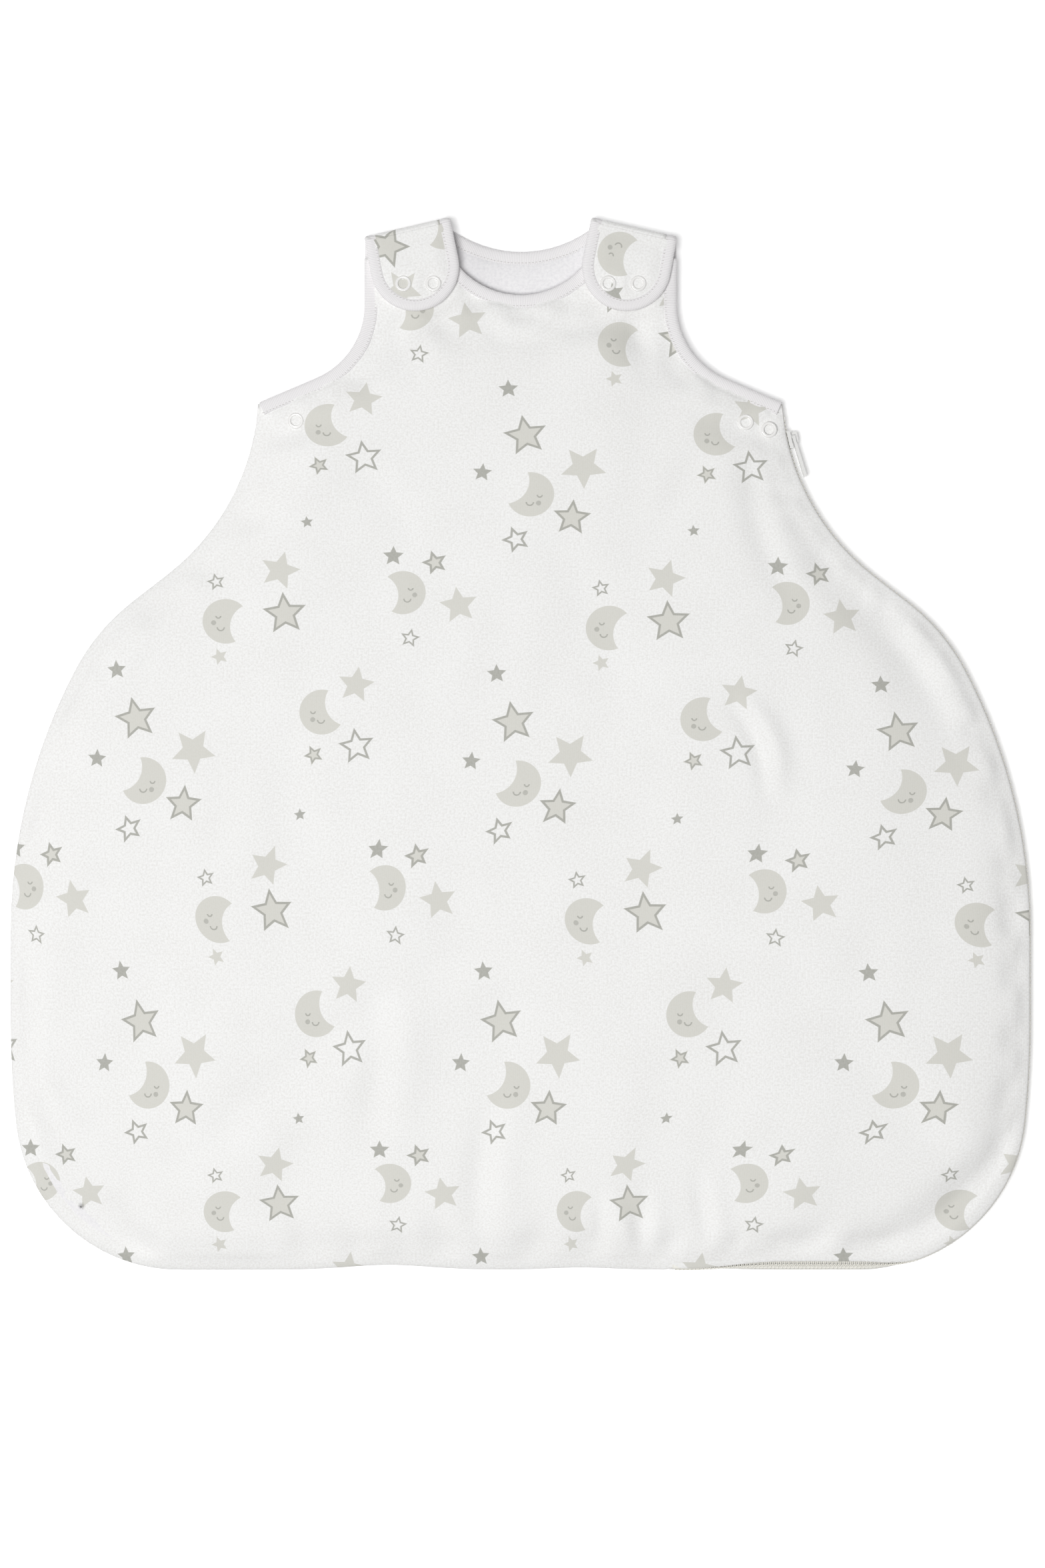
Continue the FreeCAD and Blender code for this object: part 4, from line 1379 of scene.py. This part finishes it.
@dataclass
class Strap:
    """A padded shoulder strap: its flap, the turn over the shoulder and its binding."""

    wardrobe: Wardrobe
    word: str
    lay: Print
    poppers: tuple[tuple[float, float], ...]
    turn_inset: float = 3.4 * MM
    turn_bulge: float = 2.6 * MM
    middle: float = 20.35 * MM
    low: float = 2.8 * MM

    def build(self) -> None:
        """Build the strap."""
        edge = rim_of(bpy.data.objects[f"strap_{self.word}_outer"])
        runs = split_at_corners(edge)
        fold = max(runs, key=lambda r: r.points[:, 1].mean())
        sides = max((r for r in runs if r is not fold), key=lambda r: r.length)
        outline = Outline(edge)
        outline.runs = [Run(fold.moved(self.turn_inset).points, Edge.SHOULDER)
                        if r is fold else Run(r.points, Edge.BOUND) for r in runs]
        quilt = Quilt(f"strap_{self.word}_flap", outline, 22.3 * MM, 18.5 * MM, 20 * MM,
                      {Edge.BOUND: (21.7 * MM, 19.1 * MM), Edge.SHOULDER: (22.3 * MM, 18.5 * MM)},
                      {Edge.BOUND: 7 * MM, Edge.SHOULDER: 3 * MM}, held=6.4 * MM,
                      grid=2.0 * MM)

        def shape(place: Array, gap: Array, outer: bool) -> Array:
            """The flap's soft crown, pressed flat round its poppers."""
            rise = 0.9 * MM * smoothstep(0.003, 0.016, gap)
            rise = rise + 0.12 * MM * ripple(place, 0.02, 31)
            for x, y in self.poppers:
                rise = rise * smoothstep(RING_EDGE, 0.011, np.hypot(place[:, 0] - x,
                                                                 place[:, 1] - y))
            return rise * float(outer)

        flap = quilt.build(shape, self.lay.on_strap, self.wardrobe.shell, self.wardrobe.lining)
        body = f"strap_{self.word}"
        fit(flap, "outer", f"{body}_outer", f"{body}_wadding", f"{body}_lining", body=body,
            fill=0.6)
        self.build_turn(fold, body)
        self.build_binding(fold, sides, body)
        log.info("built %s", body)

    def round_shoulder(self, start: Array, outward_way: Array, count: int = 15
                       ) -> tuple[Array, Array]:
        """Points down the turn from the flap's level to the back's, and the way off each."""
        angles = np.linspace(0, math.pi, count)
        centre = (self.middle + self.low) / 2
        half = (self.middle - self.low) / 2
        out = self.turn_bulge * np.sin(angles) - self.turn_inset
        plan = start + out[:, None] * outward_way
        line = np.column_stack([plan, centre + half * np.cos(angles)])
        off = np.column_stack([np.sin(angles)[:, None] * outward_way, np.cos(angles)])
        stretch = np.column_stack([(np.sin(angles) / self.turn_bulge)[:, None] * outward_way,
                                   np.cos(angles) / half])
        off = off * 0.35 + 0.65 * stretch / np.linalg.norm(stretch, axis=1, keepdims=True)
        return line, off / np.linalg.norm(off, axis=1, keepdims=True)

    def build_turn(self, fold: Run, body: str) -> None:
        """Build the padded cloth that goes over the shoulder."""
        across = fold.part(6.3 * MM, fold.length - 6.3 * MM).spaced(3.0 * MM)
        way = -across.inward()
        sections = []
        for point, out in zip(across.points, way):
            line, off = self.round_shoulder(point, out)
            inner = (line - off * 1.9 * MM)[::-1]
            sections.append(np.concatenate([line + off * 1.95 * MM, inner]))
        down = np.linspace(0, 18 * MM, len(sections[0]) // 2)
        span = np.concatenate([down, down[::-1], down[:1]])
        plan = np.array([[self.lay.on_strap((p - o * (self.turn_inset - d))[None])[0]
                          for d in span] for p, o in zip(across.points, way)])
        turn = skin(f"{body}_turn", np.array(sections), plan, self.wardrobe.shell)
        self.blend(turn)
        fit(turn, "outer", f"shoulder_fold_{self.word}", fill=0.5)

    def blend(self, piece: Piece) -> None:
        """Bake the piece's transform into its mesh; it is not tied to the strap or the bag."""
        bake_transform(piece)

    def build_binding(self, fold: Run, sides: Run, body: str) -> None:
        """Bind the flap's sides and tip, and on down both ends of the turn."""
        way = -fold.inward().mean(0)
        way /= np.hypot(*way)
        even = sides.spaced(1.5 * MM)
        even = even.part(self.turn_inset, even.length - self.turn_inset)
        into, up = level_frame(even)
        flat = lifted(even, self.middle)
        first_line, first_off = self.round_shoulder(sides.points[0], way)
        last_line, last_off = self.round_shoulder(sides.points[-1], way)
        path = np.concatenate([first_line[:0:-1], flat, last_line[1:]])
        off = np.concatenate([first_off[:0:-1], up, last_off[1:]])
        count = len(first_line) - 1
        inward = np.concatenate([np.tile(into[0], (count, 1)), into,
                                 np.tile(into[-1], (count, 1))])
        strip = Binding(self.wardrobe.rib, width=7.8 * MM).along(
            f"{body}_edging", path, inward, off, 2.7 * MM)
        self.blend(strip)
        fit(strip, "binding", f"{body}_binding")
        line = even.moved(5.4 * MM)
        height = np.full(len(line.points), 22.05 * MM)
        row = Stitching(self.wardrobe.thread).row(
            f"{body}_stitches", np.column_stack([line.points, height]), up)
        fit(row, "binding", body=body)


def hem_lift(place: Array) -> Array:
    """How far the front's hem draws back from the zip, from 0 to 1, at each place."""
    x, y = place[:, 0], place[:, 1]
    drawn = smoothstep(0.108, 0.175, x) * (1 - smoothstep(0.225, 0.268, x))
    return drawn * (y < HEM_LINE)


@dataclass
class Zip:
    """The coil zip round the bag's right side: its tapes and teeth."""

    wardrobe: Wardrobe
    line: Run
    pitch: float = 2.6 * MM
    wire: float = 0.8 * MM
    level: float = 8.6 * MM
    hinge: tuple[float, float] = (0.9 * MM, -2.6 * MM)
    lean: float = math.radians(66)

    def settled(self, line: Run, inset: float, height: float) -> tuple[Array, Array]:
        """Place a line of the zip, which leans in where it shows along the hem.

        Args:
            line: The zip's run.
            inset: How far in from the edge the line is where the zip stands upright.
            height: Its height from the zip's middle.

        Returns:
            The line's points, and the zip's own upward way at each.
        """
        angle = (self.lean * hem_lift(line.points))[:, None]
        into, up = level_frame(line)
        a, z = inset - self.hinge[0], height - self.hinge[1]
        moved = into * (self.hinge[0] + a * np.cos(angle) + z * np.sin(angle))
        raised = up * (self.level + self.hinge[1] - a * np.sin(angle) + z * np.cos(angle))
        ground = lifted(line, 0.0)
        return ground + moved + raised, up * np.cos(angle) + into * np.sin(angle)

    def one_tooth(self, up: float) -> Piece:
        """Model one loop of the coil, standing on its tape, with its flattened head.

        Args:
            up: 1 for the front's teeth, which hang down, and -1 for the back's.

        Returns:
            The tooth, with its X along the zip.
        """
        legs = [(-0.56, 3.0, 0.1), (-0.62, 1.6, -0.5), (-0.48, 0.2, -0.95), (0.0, -0.45, -0.75),
                (0.48, 0.2, -0.35), (0.62, 1.6, 0.1), (0.56, 3.0, 0.5)]
        wire = self.wire / 2
        rows = []
        for number, (x, z, y) in enumerate(legs):
            fat = 1.3 if number == 3 else 1.0
            before = np.array(legs[max(number - 1, 0)])
            after = np.array(legs[min(number + 1, 6)])
            way = (after - before)[[0, 2, 1]]
            way /= np.linalg.norm(way)
            side = np.cross(way, (0.0, 1.0, 0.0))
            side /= np.linalg.norm(side)
            other = np.cross(way, side)
            rows.append([np.array([x, y, z * up]) * MM + wire * fat * (
                math.cos(a) * side * np.array([1, 1, up]) + math.sin(a) * other
                * np.array([1, 1, up])) for a in np.arange(5) * 2 * math.pi / 5])
        steps, around = np.arange(7) * MM, np.arange(6) * wire
        return sweep("tooth_pattern", np.array(rows), self.wardrobe.coil, steps, around)

    def tape(self, name: str, up: float, nodes: tuple[str, ...]) -> Piece:
        """Weave one tape: a narrow upright strip with a hem that runs in under the quilt."""
        even = self.line.spaced(3.0 * MM)
        shape = [(0.85, 1.1), (0.85, 3.9), (2.5, 4.2), (7.0, 3.1), (7.0, 2.6), (1.5, 3.3),
                 (1.3, 1.1)]
        rows = [self.settled(even, a * MM, z * up * MM)[0] for a, z in shape]
        if up > 0:  # where the hem draws back, the tape's hem stays tucked up under it
            into, upright = level_frame(even)
            lift = hem_lift(even.points)[:, None]
            for number, (a, z) in enumerate(shape[2:5], 2):
                tucked = (lifted(even, self.level) + into * (a + 4.3 * lift) * MM
                          + upright * (z - 1.0 * lift) * MM)
                rows[number] = tucked * lift + rows[number] * (1 - lift)
        sections = np.array(rows).transpose(1, 0, 2)
        around = distances(np.array(shape + shape[:1])) * MM
        piece = sweep(name, sections, self.wardrobe.tape, even.steps, around)
        fit(piece, "zip_tape", *nodes)
        return piece

    def coil(self, name: str, up: float, nodes: tuple[str, ...]) -> Piece:
        """Lay one side's teeth along the zip, half a pitch from the other side's."""
        start = self.pitch * (0.25 if up > 0 else 0.75)
        even = self.line.part(2 * MM + start, self.line.length - 9 * MM).spaced(1.5 * MM)
        path, upright = self.settled(even, 0.9 * MM, 0.0)
        piece = repeated_along(name, path, upright, self.one_tooth(up), self.pitch,
                               self.wardrobe.coil)
        fit(piece, "zip_coil", *nodes)
        return piece

    def build(self, cross: Callable[[Piece], None]) -> None:
        """Build both sides.

        Args:
            cross: Called on the front's tape and teeth; here it bakes their transforms.
        """
        cross(self.tape("zip_tape_front", 1, ("zip_tape_front_top", "zip_tape_front_corner")))
        cross(self.coil("zip_teeth_front", 1, ("zip_coil_front_top", "zip_coil_front_corner")))
        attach(self.tape("zip_tape_rear", -1, ("zip_tape_back",)), "bag")
        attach(self.coil("zip_teeth_rear", -1, ("zip_coil_back",)), "bag")
        log.info("laid the zip, %.0f mm long", self.line.length / MM)


@dataclass
class Poppers:
    """Ring poppers: a rounded open ring of white enamel."""

    wardrobe: Wardrobe
    outer: float = 5.35 * MM
    hole: float = 3.3 * MM
    high: float = 1.0 * MM

    def ring(self, name: str, places: tuple[tuple[float, float], ...], base: float,
             body: str, node_name: str) -> None:
        """Press a group of rings onto the cloth.

        Args:
            name: The piece's name.
            places: The rings' centres.
            base: The height of the cloth that they sit on.
            body: The body that carries them.
            node_name: The CAD node that they stand for.
        """
        profile = [(self.hole, 0.0), (self.hole - 0.05 * MM, 0.45), (self.hole + 0.2 * MM, 0.78),
                   (self.hole + 0.5 * MM, 0.9), (self.hole + 0.75 * MM, 0.78),
                   (self.hole + 0.95 * MM, 0.86), (self.outer - 0.45 * MM, 0.8),
                   (self.outer - 0.12 * MM, 0.5), (self.outer, 0.15), (self.outer, -0.3),
                   (self.hole, -0.3)]
        sides = 48
        vertices, faces = [], []
        for x, y in places:
            first = len(vertices)
            for turn in range(sides):
                angle = 2 * math.pi * turn / sides
                for radius, height in profile:
                    vertices.append((x + radius * math.cos(angle), y + radius * math.sin(angle),
                                     base + height * self.high))
            count = len(profile)
            for turn in range(sides):
                for point in range(count):
                    a = first + turn * count + point
                    b = first + turn * count + (point + 1) % count
                    c = first + (turn + 1) % sides * count + (point + 1) % count
                    d = first + (turn + 1) % sides * count + point
                    faces.append((a, b, c, d))
        corners = [vertices[i][:2] for face in faces for i in face]
        piece = merged(make_piece(name, np.array(vertices), faces, corners,
                                  self.wardrobe.enamel))
        fit(piece, "popper_ring", node_name, body=body)


@dataclass
class Studio:
    """A pale floor, soft light from the left and above, and a camera straight above."""

    floor_colour: str = "ffffff"
    centre: tuple[float, float] = (0.0012, -0.0263)
    view_width: float = 0.699
    height: float = 2.6

    def build(self) -> None:
        """Set up the floor, the lights and the camera."""
        bpy.ops.mesh.primitive_plane_add(size=1)
        floor = bpy.context.object
        floor.name = "floor"
        floor.data.transform(Matrix.Scale(30.0, 4))
        floor.data.transform(Matrix.Translation((0, 0, -0.0002)))
        material, tree = blank_material("pale_floor")
        place = node(tree, "TexCoord")["Object"]
        mottle = node(tree, "TexNoise", Vector=place, Scale=30.0)[0]
        rough = node(tree, "MapRange", i0=mottle, i3=0.82, i4=0.92)[0]
        shader = node(tree, "BsdfPrincipled", Roughness=rough)[0].node
        shader.inputs["Base Color"].default_value = linear(self.floor_colour)
        shader.inputs["Specular IOR Level"].default_value = 0.1
        shader.inputs["Emission Color"].default_value = linear("ffffff")
        shader.inputs["Emission Strength"].default_value = 0.18
        node(tree, "OutputMaterial", i0=shader.outputs[0])
        floor.data.materials.append(material)
        self.light("window_light", (-4.2, 2.4, 2.8), 2.0, 34)
        self.light("top_light", (-0.5, -0.35, 3.2), 1.1, 78)
        world = bpy.data.worlds.new("studio")
        world.use_nodes = True
        world.node_tree.nodes["Background"].inputs[0].default_value = linear("ffffff")
        world.node_tree.nodes["Background"].inputs[1].default_value = 0.22
        bpy.context.scene.world = world
        bpy.context.scene.view_settings.view_transform = "Standard"
        camera = bpy.data.cameras.new("camera")
        camera.sensor_width = 36
        frame_height = self.view_width * 1.5
        camera.lens = 36 * self.height / frame_height
        camera.sensor_fit = "AUTO"
        holder = bpy.data.objects.new("camera", camera)
        holder.location = (*self.centre, self.height)
        bpy.context.collection.objects.link(holder)
        bpy.context.scene.camera = holder

    def light(self, name: str, place: tuple[float, float, float], size: float, power: float
              ) -> None:
        """Hang a soft square light that faces the bag."""
        lamp = bpy.data.lights.new(name, "AREA")
        lamp.size = size
        lamp.energy = power
        holder = bpy.data.objects.new(name, lamp)
        holder.location = place
        holder.rotation_euler = (-Vector(place)).to_track_quat("-Z", "Y").to_euler()
        bpy.context.collection.objects.link(holder)


def main() -> None:
    """Build the bag round its frame."""
    logging.basicConfig(level=logging.INFO, format="%(relativeCreated)6d ms  %(message)s")
    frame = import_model()
    nodes = frame["nodes"]
    joints = {joint["name"]: joint for joint in frame["joints"]}
    Studio().build()
    wardrobe = Wardrobe()

    fold = joints["front_corner_fold"]
    start, axis = Vector(fold["pos_m"]), Vector(fold["axis"]).normalized()
    front_edge = joined_at_fold(rim_of(nodes["front_outer"]), rim_of(nodes["front_corner_outer"]),
                                start, axis)
    right = Vector((-axis.y, axis.x, 0))
    if right.x < 0:
        right.negate()

    def cross(piece: Piece) -> None:
        """Bake a front piece's transform into its mesh."""
        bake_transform(piece)

    underarm = ((-0.1495, 0.215), (0.1495, 0.214), (0.165, 0.209))
    panels = Panels(wardrobe, front_edge, rim_of(nodes["back_outer"], top=False), underarm)
    panels.build()
    cross(panels.front)
    layers = [f"{part}_{layer}" for part in ("front", "front_corner")
              for layer in ("outer", "wadding", "lining")]
    fit(panels.front, "outer", *layers, fill=0.5)
    fit(panels.back, "outer", "back_outer", "back_wadding", "back_lining", "side_seam",
        body="bag", fill=0.4)
    log.info("made the quilts")

    Zip(wardrobe, panels.back_quilt.outline.find(Edge.ZIP, 1).moved(-1.7 * MM)).build(cross)

    caps = {"left": ((-0.058, 0.3055), (-0.078, 0.3055)),
            "right": ((0.058, 0.3055), (0.078, 0.3055))}
    lays = {"left": Print(192, (-156.5, 85.5), (-88, 330)),
            "right": Print(156, (-80, 101), (65.7, 325))}
    poppers = Poppers(wardrobe)
    for word, places in caps.items():
        Strap(wardrobe, word, lays[word], places).build()
        poppers.ring(f"strap_{word}_rings", places, 22.3 * MM, f"strap_{word}",
                     f"strap_{word}_popper_caps")
    poppers.ring("underarm_rings", underarm, 17.2 * MM, "bag", "underarm_popper_caps")

    finishes = {"popper": wardrobe.enamel, "stud": wardrobe.enamel, "zip": wardrobe.lacquer}
    for name, part in nodes.items():
        if part.hide_render:
            continue
        finish = next((f for word, f in finishes.items() if word in name), wardrobe.rib)
        part.data.materials.clear()
        part.data.materials.append(finish)
        log.info("finished %s as %s", name, finish.name)

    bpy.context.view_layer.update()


if __name__ == "__main__":
    main()
